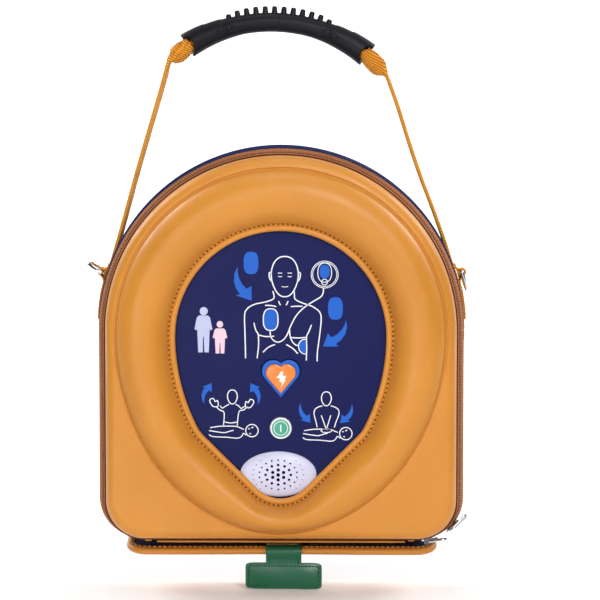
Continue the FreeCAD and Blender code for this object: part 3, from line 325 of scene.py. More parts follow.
def superellipse(half_a, half_b, power, count=32):
    """Loop of (a, b) points; power 2 is an ellipse and a high one a rounded rectangle."""
    turn = np.linspace(0, 2 * math.pi, count, endpoint=False)
    c, s = np.cos(turn), np.sin(turn)
    return np.column_stack((half_a * np.sign(c) * np.abs(c) ** (2 / power),
                            half_b * np.sign(s) * np.abs(s) ** (2 / power)))


def flat_band(path, half_width, half_thick, place, power, count):
    """Flat band along a plane's points; place(*point, sideways) gives the spot in space.
    Width, thickness and power may vary along the band."""
    path = np.asarray(path, float)
    tangent = np.gradient(path, axis=0)
    tangent /= np.linalg.norm(tangent, axis=1)[:, None]
    sizes = [np.broadcast_to(size, len(path)) for size in (half_width, half_thick, power)]
    sections = []
    for point, along, wide, thick, shape in zip(path, tangent, *sizes):
        across = np.array((along[1], -along[0]))
        sections.append([place(*(point + across * b), a) for a, b in superellipse(wide, thick, shape, count)])
    return tube_sections(sections)


def ribbon_band(path, half_width, half_thick, middle_depth, power=5.0, count=28):
    """Flat band along (x, z) points with its width along depth."""
    def place(x, z, sideways):
        return at(x, middle_depth + sideways, z)

    return flat_band(path, half_width, half_thick, place, power, count)


def side_band(path, half_width, half_thick, centre_x, power, count):
    """Flat band along (depth, z) points with its width along x."""
    def place(depth, z, sideways):
        return at(centre_x + sideways, depth, z)

    return flat_band(path, half_width, half_thick, place, power, count)


def stitch(centre, along, out, length=2.2, radius=0.32):
    """One thread stitch: a short spindle that lies on a surface. Millimetre sizes."""
    along, out = Vector(along).normalized(), Vector(out).normalized()
    side = along.cross(out).normalized()
    sections = []
    for share, thick in ((-0.5, 0.25), (-0.36, 0.8), (0.0, 1.0), (0.36, 0.8), (0.5, 0.25)):
        hub = Vector(centre) + along * (share * length * MM) - out * (share * share * length * 0.5 * MM)
        loop = [hub + (side * math.cos(a) + out * math.sin(a)) * (radius * thick * MM)
                for a in (0.5, 1.55, 2.6, 3.65, 4.7, 5.75)]
        sections.append(loop)
    return tube_sections(sections)


def thread_run(points, tangents, lift, out, **sizes):
    """Row of stitches along (x, z) points at one depth."""
    return [stitch(at(p[0], lift, p[1]), (t[0], 0, t[1]), out, **sizes)
            for p, t in zip(points, tangents)]


def stitches_between(corners, pitch):
    """Place and direction, each as two numbers, of the stitches along a path of straight runs."""
    for (a0, b0), (a1, b1) in zip(corners, corners[1:]):
        count = max(1, int(math.hypot(a1 - a0, b1 - b0) / pitch))
        for i in range(count):
            share = (i + 0.5) / count
            yield a0 + (a1 - a0) * share, b0 + (b1 - b0) * share, a1 - a0, b1 - b0


def outer_normal(point, tangent):
    """Normal of an outline in the case's plane, pointing away from the middle."""
    normal = Vector((-tangent[1], 0, tangent[0]))
    return -normal if normal.x * point[0] + normal.z * point[1] < 0 else normal


def apply_modifiers(item):
    """Bake an object's modifiers into its mesh."""
    graph = bpy.context.evaluated_depsgraph_get()
    data = bpy.data.meshes.new_from_object(item.evaluated_get(graph))
    item.modifiers.clear()
    item.data = data
    return item


def carve(item, tool):
    """Cut one mesh out of another."""
    modifier = item.modifiers.new("cut", "BOOLEAN")
    modifier.object = tool
    modifier.solver = "EXACT"
    apply_modifiers(item)
    bpy.data.objects.remove(tool)
    return item


# ---------------------------------------------------------------- materials


class Paint:
    """Principled material with helpers that add procedural colour, roughness and relief."""

    def __init__(self, name, colour, roughness=0.5, metallic=0.0, specular=0.5, coat=0.0, sheen=0.0):
        self.material = bpy.data.materials.new(name)
        self.material.use_nodes = True
        self.nodes = self.material.node_tree.nodes
        self.links = self.material.node_tree.links
        self.shader = self.nodes["Principled BSDF"]
        self.colour = (*colour, 1.0)
        self.roughness = roughness
        self.set("Base Color", self.colour)
        self.set("Roughness", roughness)
        self.set("Metallic", metallic)
        self.set("Specular IOR Level", specular)
        self.set("Coat Weight", coat)
        self.set("Coat Roughness", 0.25)
        self.set("Sheen Weight", sheen)
        self.place = self.nodes.new("ShaderNodeTexCoord").outputs["Object"]
        self.normal = None

    def set(self, socket, value):
        self.shader.inputs[socket].default_value = value

    def node(self, kind, **settings):
        """New node with its properties, or its inputs' values, set by name."""
        made = self.nodes.new(kind)
        for key, value in settings.items():
            if key in made.inputs:
                made.inputs[key].default_value = value
            else:
                setattr(made, key, value)
        return made

    def noise(self, scale, detail=3.0):
        made = self.node("ShaderNodeTexNoise", Scale=scale, Detail=detail)
        self.links.new(self.place, made.inputs["Vector"])
        return made.outputs["Fac"]

    def grain(self, scale):
        """Pebbled cells, 0 in the creases between them."""
        made = self.node("ShaderNodeTexVoronoi", feature="DISTANCE_TO_EDGE", Scale=scale)
        self.links.new(self.place, made.inputs["Vector"])
        return made.outputs["Distance"]

    def weave(self, scale, turn):
        """Ribs of yarn; turn gives their direction as Euler angles in degrees."""
        spin = self.node("ShaderNodeMapping")
        spin.inputs["Rotation"].default_value = [math.radians(a) for a in turn]
        self.links.new(self.place, spin.inputs["Vector"])
        made = self.node("ShaderNodeTexWave", Scale=scale, Distortion=0.4)
        self.links.new(spin.outputs["Vector"], made.inputs["Vector"])
        return made.outputs["Fac"]

    def ramp(self, source, low, high, start, end):
        """Source mapped from low..high to start..end."""
        made = self.node("ShaderNodeMapRange")
        for key, value in (("From Min", low), ("From Max", high), ("To Min", start), ("To Max", end)):
            made.inputs[key].default_value = value
        self.links.new(source, made.inputs["Value"])
        return made.outputs["Result"]

    def tint(self, source, other, low=0.3, high=0.7, strength=1.0):
        """Mix the colour so far towards another one where the source is high."""
        mix = self.node("ShaderNodeMix", data_type="RGBA")
        self.links.new(self.ramp(source, low, high, 0.0, strength), mix.inputs["Factor"])
        before = self.shader.inputs["Base Color"]
        if before.is_linked:
            self.links.new(before.links[0].from_socket, mix.inputs["A"])
        else:
            mix.inputs["A"].default_value = self.colour
        mix.inputs["B"].default_value = (*other, 1.0)
        self.links.new(mix.outputs["Result"], before)
        return self

    def uneven(self, scale, spread):
        """Roughness that varies a little over the surface."""
        value = self.ramp(self.noise(scale), 0.3, 0.7, self.roughness - spread, self.roughness + spread)
        self.links.new(value, self.shader.inputs["Roughness"])
        return self

    def relief(self, source, height, strength=1.0):
        """Bump of a height in millimetres, on top of the ones so far."""
        bump = self.node("ShaderNodeBump", Strength=strength, Distance=height * MM)
        self.links.new(source, bump.inputs["Height"])
        if self.normal:
            self.links.new(self.normal, bump.inputs["Normal"])
        self.normal = bump.outputs["Normal"]
        self.links.new(self.normal, self.shader.inputs["Normal"])
        return self


def leather(name, colour, shade, roughness=0.46, specular=0.42):
    """Smooth coated leather: fine pebble grain, soft mottling, slightly polished high spots."""
    paint = Paint(name, colour, roughness, specular=specular, coat=0.04, sheen=0.03)
    paint.tint(paint.noise(14.0), shade, 0.35, 0.75, 0.45)
    paint.tint(paint.noise(420.0, 5.0), shade, 0.45, 0.8, 0.22)
    paint.uneven(60.0, 0.06)
    paint.relief(paint.grain(950.0), 0.10, 0.35)
    paint.relief(paint.noise(300.0, 4.0), 0.12, 0.25)
    return paint.material


def cloth(name, colour, shade, pitch, turn, roughness=0.8, height=0.18):
    """Woven fabric with ribs of a pitch in millimetres and a finer cross yarn."""
    scale = 2 * math.pi / (20 * pitch * MM)
    paint = Paint(name, colour, roughness, specular=0.15, sheen=0.06)
    ribs = paint.weave(scale, turn)
    paint.tint(ribs, shade, 0.2, 0.8, 0.85)
    paint.tint(paint.noise(90.0), shade, 0.4, 0.8, 0.3)
    paint.uneven(200.0, 0.05)
    paint.relief(ribs, height, 0.8)
    paint.relief(paint.weave(scale * 1.7, (turn[0], turn[1] + 90, turn[2] + 45)), height * 0.4, 0.6)
    return paint.material


def plastic(name, colour, roughness=0.42, grain=2200.0, height=0.02, specular=0.5, coat=0.0):
    """Moulded plastic with a fine spark-eroded texture."""
    paint = Paint(name, colour, roughness, specular=specular, coat=coat)
    lighter = tuple(min(1.0, c * 1.25 + 0.004) for c in colour)
    paint.tint(paint.noise(35.0), lighter, 0.45, 0.8, 0.35)
    paint.uneven(120.0, 0.04)
    paint.relief(paint.noise(grain, 2.0), height, 0.5)
    return paint.material


def metal(name, colour, roughness, scratch=500.0, height=0.004):
    """Plated or bare metal with faint handling marks."""
    paint = Paint(name, colour, roughness, metallic=1.0)
    darker = tuple(c * 0.7 for c in colour)
    paint.tint(paint.noise(240.0, 4.0), darker, 0.5, 0.85, 0.4)
    paint.uneven(300.0, min(roughness * 0.6, 0.06))
    paint.relief(paint.noise(scratch, 3.0), height, 0.4)
    return paint.material


def make_materials():
    """Every finish, under the record's slot names where they match one."""
    orange, deep = (0.66, 0.262, 0.030), (0.49, 0.178, 0.011)
    return {
        "cover_leather": leather("cover_leather", orange, deep),
        "flap_leather": leather("flap_leather", (0.62, 0.24, 0.028), deep, 0.5),
        "lining": cloth("lining", (0.012, 0.016, 0.06), (0.02, 0.025, 0.09), 0.9, (0, 0, 0), 0.85, 0.1),
        "back_leather": leather("back_leather", (0.006, 0.014, 0.085), (0.004, 0.009, 0.05), 0.5, 0.16),
        "zip_fabric": cloth("zip_fabric", (0.56, 0.215, 0.08), (0.34, 0.115, 0.035), 0.75, (0, 90, 0)),
        "zip_coil": plastic("zip_coil", (0.36, 0.125, 0.04), 0.5, specular=0.3),
        "zip_thread": cloth("zip_thread", (0.15, 0.035, 0.012), (0.08, 0.018, 0.006), 0.4, (20, 0, 30)),
        "foam": foam("foam"),
        "navy_plastic": plastic("navy_plastic", (0.010, 0.014, 0.085), 0.4),
        "label_film": label_film("label_film"),
        "print_white": plastic("print_white", (0.86, 0.87, 0.90), 0.4, height=0.004),
        "print_blue": plastic("print_blue", (0.010, 0.115, 0.56), 0.4, height=0.004, specular=0.25),
        "print_grey": plastic("print_grey", (0.50, 0.53, 0.76), 0.42, height=0.004),
        "print_pink": plastic("print_pink", (0.80, 0.56, 0.66), 0.42, height=0.004),
        "seal_rubber": plastic("seal_rubber", (0.02, 0.02, 0.022), 0.7),
        "green_plastic": plastic("green_plastic", (0.05, 0.36, 0.23), 0.32, coat=0.2),
        "orange_plastic": plastic("orange_plastic", (0.90, 0.22, 0.02), 0.3, coat=0.25),
        "grey_plastic": plastic("grey_plastic", (0.62, 0.62, 0.80), 0.38, 2600.0, 0.015),
        "black_plastic": plastic("black_plastic", (0.012, 0.012, 0.013), 0.5),
        "circuit_board": plastic("circuit_board", (0.012, 0.13, 0.045), 0.35, 900.0, 0.03),
        "steel": metal("steel", (0.56, 0.56, 0.58), 0.32),
        "gold_contact": metal("gold_contact", (0.92, 0.68, 0.28), 0.2),
        "aluminium": metal("aluminium", (0.80, 0.80, 0.82), 0.3),
        "webbing": cloth("webbing", (0.95, 0.43, 0.04), (0.40, 0.12, 0.006), 1.3, (0, 62, 20), 0.72, 0.4),
        "grip_rubber": plastic("grip_rubber", (0.005, 0.004, 0.008), 0.46, 900.0, 0.05, 0.2),
        "chrome": metal("chrome", (0.66, 0.66, 0.69), 0.1),
        "tab_webbing": leather("tab_webbing", (0.008, 0.115, 0.055), (0.005, 0.08, 0.035), 0.36),
        "tab_thread": cloth("tab_thread", (0.006, 0.05, 0.026), (0.003, 0.03, 0.015), 0.4, (20, 0, 30)),
        # thread lighter than the leather: its colour is partly painted highlight
        "gold_thread": cloth("gold_thread", (0.88, 0.42, 0.09), (0.55, 0.22, 0.03), 0.4, (20, 0, 30)),
        # dark brown dots between stitches: painted shadow at the stitch ends
        "needle_hole": plastic("needle_hole", (0.09, 0.025, 0.006), 0.9),
        "hook_and_loop": cloth("hook_and_loop", (0.012, 0.012, 0.013), (0.03, 0.03, 0.03), 0.5, (0, 0, 0)),
        "foil": metal("foil", (0.72, 0.74, 0.76), 0.28, 120.0, 0.2),
    }


def foam(name):
    """Open-cell lining foam: matt, pitted and slightly mottled."""
    paint = Paint(name, (0.03, 0.03, 0.034), 0.95, specular=0.1, sheen=0.2)
    paint.tint(paint.noise(70.0), (0.055, 0.055, 0.06), 0.4, 0.75, 0.7)
    paint.relief(paint.grain(1400.0), 0.25, 0.7)
    paint.relief(paint.noise(500.0, 4.0), 0.3, 0.5)
    return paint.material


def label_film(name):
    """Printed polyester overlay: deep blue under a satin lacquer with a faint orange peel."""
    paint = Paint(name, (0.0040, 0.0065, 0.072), 0.38, specular=0.16)
    paint.tint(paint.noise(9.0), (0.0055, 0.009, 0.090), 0.35, 0.75, 0.7)
    paint.uneven(50.0, 0.03)
    paint.relief(paint.noise(700.0, 2.0), 0.012, 0.5)
    return paint.material


MATERIALS = make_materials()
SLOTS = {m["slot"] for m in frame["record"]["materials"]}
# nearest slot in the record for each finish that has no slot of its own
SLOT_OF = {"flap_leather": "cover_leather", "lining": "back_leather", "zip_thread": "zip_fabric",
           "print_white": "label_film", "print_blue": "label_film", "print_grey": "label_film",
           "print_pink": "label_film", "tab_thread": "tab_webbing", "gold_thread": "webbing",
           "needle_hole": "cover_leather"}


def dress(item, body, finish, stands_for=()):
    """Give a piece its material, put it on its body and hide the nodes it replaces."""
    item.data.materials.clear()
    item.data.materials.append(MATERIALS[finish])
    finish if finish in SLOTS else SLOT_OF[finish]
    if body:
        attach(item, body)
    if stands_for:
        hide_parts(*stands_for)
    return item


def piece(name, parts, body, finish, stands_for=(), smooth=True, sharp=None):
    """Parts joined into one dressed piece; sharp is the angle from which its edges stay crisp."""
    item = joined(name, parts, smooth)
    if sharp:
        sharpen(item, sharp)
    return dress(item, body, finish, stands_for)


def dress_cad_nodes():
    """Procedural finishes for the CAD nodes that stay visible."""
    for part in frame["record"]["subparts"]:
        node = frame["nodes"][part["node"]]
        node.data.materials.clear()
        node.data.materials.append(MATERIALS[part["material_slot"]])


# ---------------------------------------------------------------- case


def cover_skin():
    """Padded front cover in one skin: rolled window lip, stitch valley, raised ring, border."""
    foot = reach(ring_foot_outline())
    rim = reach(seam_outline(RIM_DEPTH))
    roll = np.minimum(7.5, 0.86 * (rim - foot))
    lip_crest, valley_depth = 60.1, 59.2
    lip = ((1.8, 56.6), (0.5, 56.8), (0.05, 57.6), (0.1, 58.7), (0.7, 59.6), (1.7, lip_crest), (2.7, 60.05),
           (3.4, 59.6), (3.9, 58.9), (4.4, 58.7), (4.9, 59.1))
    stations = [(reach(window_outline(outset)), depth) for outset, depth in lip]
    valley = reach(window_outline(5.2))
    steps = 34
    for i in range(1, steps):
        share = (1 - math.cos(math.pi * i / steps)) / 2
        crown = (1 - abs(2 * share - 1) ** 2.15) ** 0.72
        base = valley_depth + (BORDER_DEPTH - 0.6 - valley_depth) * share
        stations.append((valley + (foot - valley) * share, base + (CREST_DEPTH - lip_crest) * crown))
    stations += [(foot + 0.15, BORDER_DEPTH - 0.75), (foot + 0.7, BORDER_DEPTH - 0.35)]
    flat_start, flat_end = foot + 1.4, rim - roll
    for share in np.arange(8) / 8:
        stations.append((flat_start + np.maximum(flat_end - flat_start, 0.01) * share,
                         BORDER_DEPTH - 0.15 * (1 - share)))
    for i in range(12):
        angle = math.pi / 2 * i / 11
        stations.append((np.maximum(flat_end + roll * math.sin(angle), foot + 1.5 + 0.01 * i),
                         BORDER_DEPTH - (BORDER_DEPTH - RIM_DEPTH - 0.5) * (1 - math.cos(angle))))
    stations += [(rim - 0.25, RIM_DEPTH + 0.05), (rim - 0.9, RIM_DEPTH - 0.2), (rim - 1.7, RIM_DEPTH - 0.1)]
    outer_count = len(stations)
    stations += [(rim - 3.4, RIM_DEPTH + 0.4), (rim - 3.8, 56.8), (np.minimum(foot, rim - 5), 57.6),
                 (valley + 2, 57.2)]
    skin = loft_round("cover_skin", stations)
    dress(skin, "cover", "cover_leather", ["front_shell", "window_rim", "front_binding"])
    skin.data.materials.append(MATERIALS["lining"])
    for face in skin.data.polygons:
        if any(v % len(stations) >= outer_count for v in face.vertices):
            face.material_index = 1


def window_stitches():
    """Thread, lightened as painted highlight, and dark dots of painted shadow between the stitches, in the valley
    round the window.
    """
    points, tangents = spaced(window_outline(4.4), 3.0)
    slant = [(t[0] + 0.22 * t[1], t[1] - 0.22 * t[0]) for t in tangents]
    # threads lighter than the leather: partly painted highlight
    threads = thread_run(points, slant, 59.15, (0, -1, 0), length=2.3, radius=0.55)
    piece("window_stitches", threads, "cover", "gold_thread")
    # dark dots between the threads: painted shadow at the stitch ends
    gaps = points + tangents * 1.5
    holes = thread_run(gaps, tangents, 59.1, (0, -1, 0), length=1.05, radius=0.62)
    piece("window_stitch_shadows", holes, "cover", "needle_hole")


def zip_band(name, body, start, end, node):
    """Woven zipper tape between two depths, folded over at its sewn edge."""
    thick = 1.5
    section = ((start, 0.25), (start + 0.25, 0.0), ((start + end) / 2, -0.12), (end - 0.2, 0.0), (end, 0.2),
               (end, thick), (start, thick))
    stations = [(reach(seam_outline(depth, inset)), depth) for depth, inset in section]
    dress(loft_round(name, stations), body, "zip_fabric", [node])


def zip_teeth(name, body, start, end, offset, node):
    """Coil turns along the closed zipper, all round except over the bottom hinge."""
    pitch, hinge_half = 1.75, 76.0
    middle = (start + end) / 2
    turns = []
    for point, tangent in zip(*spaced(seam_outline(middle), pitch)):
        if point[1] < -CASE_DROP + 4 and abs(point[0]) < hinge_half:
            continue
        spot = point + tangent * (offset * pitch)
        normal = outer_normal(point, tangent)
        lean = Vector((0, -1, 0)) - normal * BAND_SLOPE
        turns.append(stitch(at(spot[0], middle, spot[1]) + normal * 0.2 * MM, lean, normal,
                            length=end - start, radius=0.56))
    piece(name, turns, body, "zip_coil", [node])


def tape_seam():
    """Lock stitches that sew the tapes to the cover and to the rear shell."""
    for name, body, depth in (("cover_tape_stitches", "cover", RIM_DEPTH - 1.15),
                              ("shell_tape_stitches", "root", SEAM_DEPTH + 1.1)):
        rows = [stitch(at(p[0], depth, p[1]), (t[0], 0, t[1]), outer_normal(p, t), length=1.7, radius=0.26)
                for p, t in zip(*spaced(seam_outline(depth), 2.4))]
        piece(name, rows, body, "zip_thread")


def rim_cord_and_shadow():
    """Thin dark cord sewn in where the cover's leather meets the front tape; it stands for the edge binding, and
    its dark colour is painted shadow in the seam.
    """
    outline = seam_outline(RIM_DEPTH, -0.35)[::2]
    # the cord's dark thread colour paints the seam's shadow
    cord = wire([at(x, RIM_DEPTH + 0.5, z) for x, z in outline], 0.62, closed=True)
    piece("cover_rim_cord_and_shadow", [cord], "cover", "zip_thread")


def back_skin():
    """Rear tray of the case: wall, rounded rear edge, embossed back and the cartridge opening."""
    drop, corner = CASE_DROP - SHELL_INSET, CASE_CORNER - SHELL_INSET
    rounding = 7.0

    def wall(inset):
        return reach(arch_outline(SHELL_RADIUS - inset, drop - inset, corner - inset))

    edge = wall(rounding)
    back = [(share, 0.25) for share in (0.03, 0.2, 0.4, 0.55, 0.66)]
    # embossed groove that runs round the back
    back += [(0.70, 0.25), (0.715, 0.5), (0.725, 1.1), (0.735, 1.25), (0.745, 1.1), (0.755, 0.5),
             (0.77, 0.25), (0.85, 0.1), (0.95, 0.0)]
    turns = [math.pi / 2 * i / 9 for i in range(10)]
    outside = [(rounding * (1 - math.sin(turn)), rounding * (1 - math.cos(turn))) for turn in turns]
    outside += [(0.0, 16.0), (0.0, 30.0)]
    # lip that the tape is sewn to, with depths measured from the seam
    lip = ((0.0, 4.4), (-0.1, 3.6), (-0.7, 3.1), (-1.5, 2.5), (-1.7, 1.6), (-1.7, 0.6), (-1.3, 0.15),
           (0.4, 0.05), (3.2, 0.4), (3.5, 1.2))
    inside = [(3.5, 10.0), (5.0, 4.6), (8.0, 3.6)]
    stations = [(edge * share, depth) for share, depth in back]
    stations += [(wall(inset), depth) for inset, depth in outside]
    stations += [(wall(inset), SEAM_DEPTH - depth) for inset, depth in lip]
    stations += [(wall(inset), depth) for inset, depth in inside]
    stations += [(edge * 0.5, 3.5), (edge * 0.03, 3.5)]
    skin = loft_round("back_skin", stations, capped=True)
    low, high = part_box("pak_housing")
    margin = 4.0 * MM
    mouth = rounded_block("mouth_tool", (low.x - margin, low.y - 2 * MM, -CASE_DROP * MM - 0.01),
                          (high.x + margin, high.y + 2 * MM, -CASE_DROP * MM + 0.0105), 1.5 * MM)
    carve(skin, mouth)
    sharpen(skin, 50)
    dress(skin, "root", "back_leather", ["back_shell"])
    points, tangents = spaced(arch_outline(SHELL_RADIUS - 11, drop - 11, corner - 8), 3.0)
    threads = thread_run(points, tangents, 0.05, (0, 1, 0), length=2.2, radius=0.3)
    piece("back_stitches", threads, "root", "back_leather")


def rounded_block(name, low, high, radius):
    """Box between two corners with rounded edges, in metres."""
    mesh = bmesh.new()
    bmesh.ops.create_cube(mesh, size=1.0)
    for vertex in mesh.verts:
        for axis in range(3):
            vertex.co[axis] = (low[axis] + high[axis]) / 2 + vertex.co[axis] * (high[axis] - low[axis])
    bmesh.ops.bevel(mesh, geom=mesh.edges[:], offset=radius, segments=4, profile=0.5, affect="EDGES")
    data = bpy.data.meshes.new(name)
    mesh.to_mesh(data)
    mesh.free()
    return new_object(name, data)


def back_panel():
    """Padded leather panel set into the back and sewn down round its edge."""
    low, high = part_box("back_panel")
    centre, half = (low + high) / 2 / MM, (high - low) / 2 / MM
    shape = superellipse(1.0, 1.0, 14.0, 160)
    seam = 4.4

    def outline(inset):
        return shape * (half.x - inset, half.z - inset) + (centre.x, centre.z)

    section = ((0.0, 1.1), (0.0, 0.35), (0.5, 0.1), (1.6, 0.0), (3.6, 0.0), (seam, 0.3), (5.2, 0.0),
               (9.0, 0.0))
    pad = stacked([(outline(inset), depth) for inset, depth in section])
    piece("back_panel_pad", [pad], "root", "back_leather", ["back_panel"], sharp=60)
    points, tangents = spaced(outline(seam), 3.0)
    threads = thread_run(points, tangents, 0.15, (0, 1, 0), length=2.2, radius=0.3)
    piece("back_panel_stitches", threads, "root", "back_leather")


def foam_lining():
    """Soft foam tray: the cradle's own shape, remeshed, relaxed and slightly uneven."""
    item = new_object("foam_lining", frame["nodes"]["foam_cradle"].data.copy())
    remesh = item.modifiers.new("cells", "REMESH")
    remesh.mode = "VOXEL"
    remesh.voxel_size = 1.6 * MM
    relax = item.modifiers.new("relax", "SMOOTH")
    relax.iterations = 3
    relax.factor = 0.5
    apply_modifiers(item)
    item.data.shade_smooth()
    dress(item, "root", "foam", ["foam_cradle"])


def bottom_gusset():
    """Leather strip that hinges the cover on the rear shell, and the zipper's end tabs."""
    path = smooth_line([(38.5, -133.0), (42.0, -134.0), (46.5, -134.6), (50.5, -134.7), (52.6, -134.2)],
                       steps=5)
    strip = joined("hinge_gusset_strip", [side_band(path, 78.2, 0.55, 0.0, 8.0, 48)])
    dress(strip, None, "flap_leather", ["hinge_gusset"])
    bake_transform(strip)
    for side in ("left", "right"):
        low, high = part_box(f"zip_end_tab_{side}")
        grow = Vector((0.6, 0.5, 0.2)) * MM
        tab = rounded_block(f"zip_end_{side}", low - grow, high + grow, 0.7 * MM)
        dress(sharpen(tab, 60), "root", "flap_leather", [f"zip_end_tab_{side}"])


# ---------------------------------------------------------------- handle


def strap_path(side, lean, fan_out, grip_end):
    """Middle line (x, z) of one webbing strap, from its sewn end to the grip."""
    wall = SHELL_RADIUS + WEB_GAP + WEB_HALF_THICK
    points = [(side * wall, z) for z in (-8.0, -4.0, 0.0)]
    for degrees in np.linspace(3, lean, 6):
        angle = math.radians(degrees)
        points.append((side * wall * math.cos(angle), wall * math.sin(angle)))
    start = Vector(points[-1])
    for share in (0.12, 0.28, 0.46, 0.64, 0.82, 0.93):
        sway = 0.5 * math.sin(share * 9.0) * (1 if side > 0 else 0.4)
        spot = start.lerp(Vector(fan_out), share)
        points.append((spot.x + sway, spot.y))
    points.append(fan_out)
    for share in (0.3, 0.6, 0.85):
        points.append(tuple(Vector(fan_out).lerp(Vector(grip_end), share)))
    points.append(grip_end)
    points.append(tuple(Vector(grip_end) + (Vector(grip_end) - Vector(fan_out)).normalized() * 3))
    return smooth_line(points, steps=28)


# (x, z) of the grip's ends and of the places where the webbing starts to be rolled, right and left
GRIP_ENDS = {1: (54.2, 170.7), -1: (-59.8, 176.5)}
FAN_OUTS = {1: (66.0, 158.5), -1: (-71.2, 167.0)}


def straps():
    """Webbing from the case's sides, rolled into the ends of the grip."""
    roll_half_width, roll_half_thick, rib_pitch = 6.2, 5.9, 1.35
    for side, label, lean in ((-1, "left", 15.3), (1, "right", 20.3)):
        path = strap_path(side, lean, FAN_OUTS[side], GRIP_ENDS[side])
        length = run_lengths(path)
        past = length - length[np.argmin(np.hypot(*(path - FAN_OUTS[side]).T))]
        gather = smoothstep((past + 9) / 17)
        bulb = smoothstep((past + 1.5) / 9)
        neck = 1 - 0.24 * smoothstep((past - past[-1] + 7) / 7)
        wide = (WEB_HALF_WIDTH * (1 - gather) + roll_half_width * gather) * neck
        thick = (WEB_HALF_THICK * (1 - bulb) + roll_half_thick * bulb) * neck
        thick = thick + 0.13 * np.sin(length * 2 * math.pi / rib_pitch)
        power = 6.0 - 3.8 * smoothstep((past + 6) / 10)
        strap = joined(f"handle_webbing_{label}", [ribbon_band(path, wide, thick, STRAP_DEPTH, power, 40)])
        roll_folds(strap, side)
        dress(strap, None, "webbing", [f"strap_{label}", f"anchor_patch_{label}"])
        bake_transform(strap)
        strap_stitches(side, label)


def roll_folds(strap, side):
    """Diagonal folds where the flat webbing is rolled up beside the grip."""
    end, start = Vector(GRIP_ENDS[side]), Vector(FAN_OUTS[side])
    along = (end - start).normalized()
    across = Vector((along.y, -along.x))
    for vertex in strap.data.vertices:
        spot = Vector((vertex.co.x, vertex.co.z)) / MM - start
        run = spot.dot(along)
        share = float(smoothstep((run + 1) / 6))
        if share == 0:
            continue
        h, d = spot.dot(across), -vertex.co.y / MM - STRAP_DEPTH
        angle = math.atan2(h, d)
        fold = 0.36 * math.sin(run * 4.4 - 2.0 * angle * side) * share
        radial = math.hypot(h, d) + 1e-6
        vertex.co.x += across.x * h / radial * fold * MM
        vertex.co.z += across.y * h / radial * fold * MM
        vertex.co.y -= d / radial * fold * MM


def strap_stitches(side, label):
    """Box of stitches with a cross that sews the webbing to the shell's side."""
    face = SHELL_RADIUS + WEB_GAP + 2 * WEB_HALF_THICK
    low, high, half = -6.0, 1.5, 10.0
    corners = [(-half, low), (half, low), (half, high), (-half, high), (-half, low), (half, high),
               (-half, high), (half, low)]
    rows = [stitch(at(side * face, STRAP_DEPTH + a, z), (0, -across, up), (side, 0, 0),
                   length=2.0, radius=0.26)
            for a, z, across, up in stitches_between(corners, 2.6)]
    piece(f"anchor_stitches_{label}", rows, "root", "webbing")


def bow_frame():
    """Centre, crown direction, radius and half angle of the grip's bow, in (x, z) millimetres."""
    left, right = Vector(GRIP_ENDS[-1]), Vector(GRIP_ENDS[1])
    radius = 99.0
    chord = right - left
    up = Vector((-chord.y, chord.x)).normalized()
    centre = (left + right) / 2 - up * math.sqrt(radius ** 2 - chord.length ** 2 / 4)
    return centre, up, radius, math.asin(chord.length / 2 / radius)


def bow_point(along, across, out):
    """Point at a distance along the bow from its crown, across it (outwards) and towards the front."""
    centre, up, radius, _ = bow_frame()
    angle = along / radius
    direction = Vector((up.x * math.cos(angle) + up.y * math.sin(angle),
                        up.y * math.cos(angle) - up.x * math.sin(angle)))
    spot = centre + direction * (radius + across)
    return at(spot.x, STRAP_DEPTH + out, spot.y)


def grip_radius(from_end, top):
    """Outer radius of the grip; it swells towards its open ends, in small steps on the top."""
    swell = 1.75 * (1 - min(from_end, 38.0) / 38.0)
    steps = ((0.45, 15.5), (0.4, 26.0))
    raised = sum(height * float(smoothstep((place - from_end) / 1.2)) for height, place in steps)
    return 6.1 + swell + raised * top ** 3


def moulded_grip():
    """Bowed rubber sleeve with open flared ends, comb teeth, seam and raised triangles."""
    _, _, radius, half_angle = bow_frame()
    half = half_angle * radius
    turn = np.linspace(0, 2 * math.pi, 48, endpoint=False)
    outer, inner = [], []
    for along in np.linspace(-half, half, 150):
        from_end = half - abs(along)
        nip = 0.45 * max(0.0, 1 - from_end / 0.9)
        bore = 4.2 + 2.9 * max(0.0, 1 - from_end / 10.0)
        loop, hollow = [], []
        for angle in turn:
            # the mouth is cut back at the front, so that the rolled webbing shows in it
            front = max(0.0, math.sin(angle))
            scoop = math.copysign(4.6 * front ** 1.6 * max(0.0, 1 - from_end / 12.0), along)
            size = grip_radius(from_end, max(0.0, math.cos(angle))) - nip
            loop.append(bow_point(along - scoop, size * math.cos(angle), size * math.sin(angle)))
            hollow.append(bow_point(along - scoop, bore * math.cos(angle), bore * math.sin(angle)))
        outer.append(loop)
        inner.append(hollow)
    parts = [tube_sections(outer + inner[::-1], closed=True)] + [comb_tooth(i) for i in range(12)]
    seam = [bow_point(0, 6.16 * math.cos(a), 6.16 * math.sin(a)) for a in turn]
    parts.append(wire(seam, 0.16, closed=True))
    for side in (-1, 1):
        for tip in (-1, 1):
            parts.append(grip_triangle(side * (half - 27), tip))
    piece("moulded_grip", parts, "handle", "grip_rubber", ["grip"], sharp=50)


def comb_tooth(index):
    """One tooth of the comb; the outer ones are lower."""
    pitch, middle = 5.5, 5.5
    offset = index - middle
    height = 4.1 * (1 - 0.42 * abs(offset / middle) ** 5)
    section = ((-0.35, 1.12), (0.0, 1.1), (0.1, 1.02), (0.5, 0.95), (0.8, 0.9), (0.93, 0.74), (1.0, 0.42))
    sections = []
    for share, slim in section:
        loop = superellipse(1.72 * slim, 3.4 * (0.6 + 0.4 * slim), 3.4, 20)
        sections.append([bow_point(offset * pitch + a, 6.0 + height * share, b) for a, b in loop])
    return tube_sections(sections)


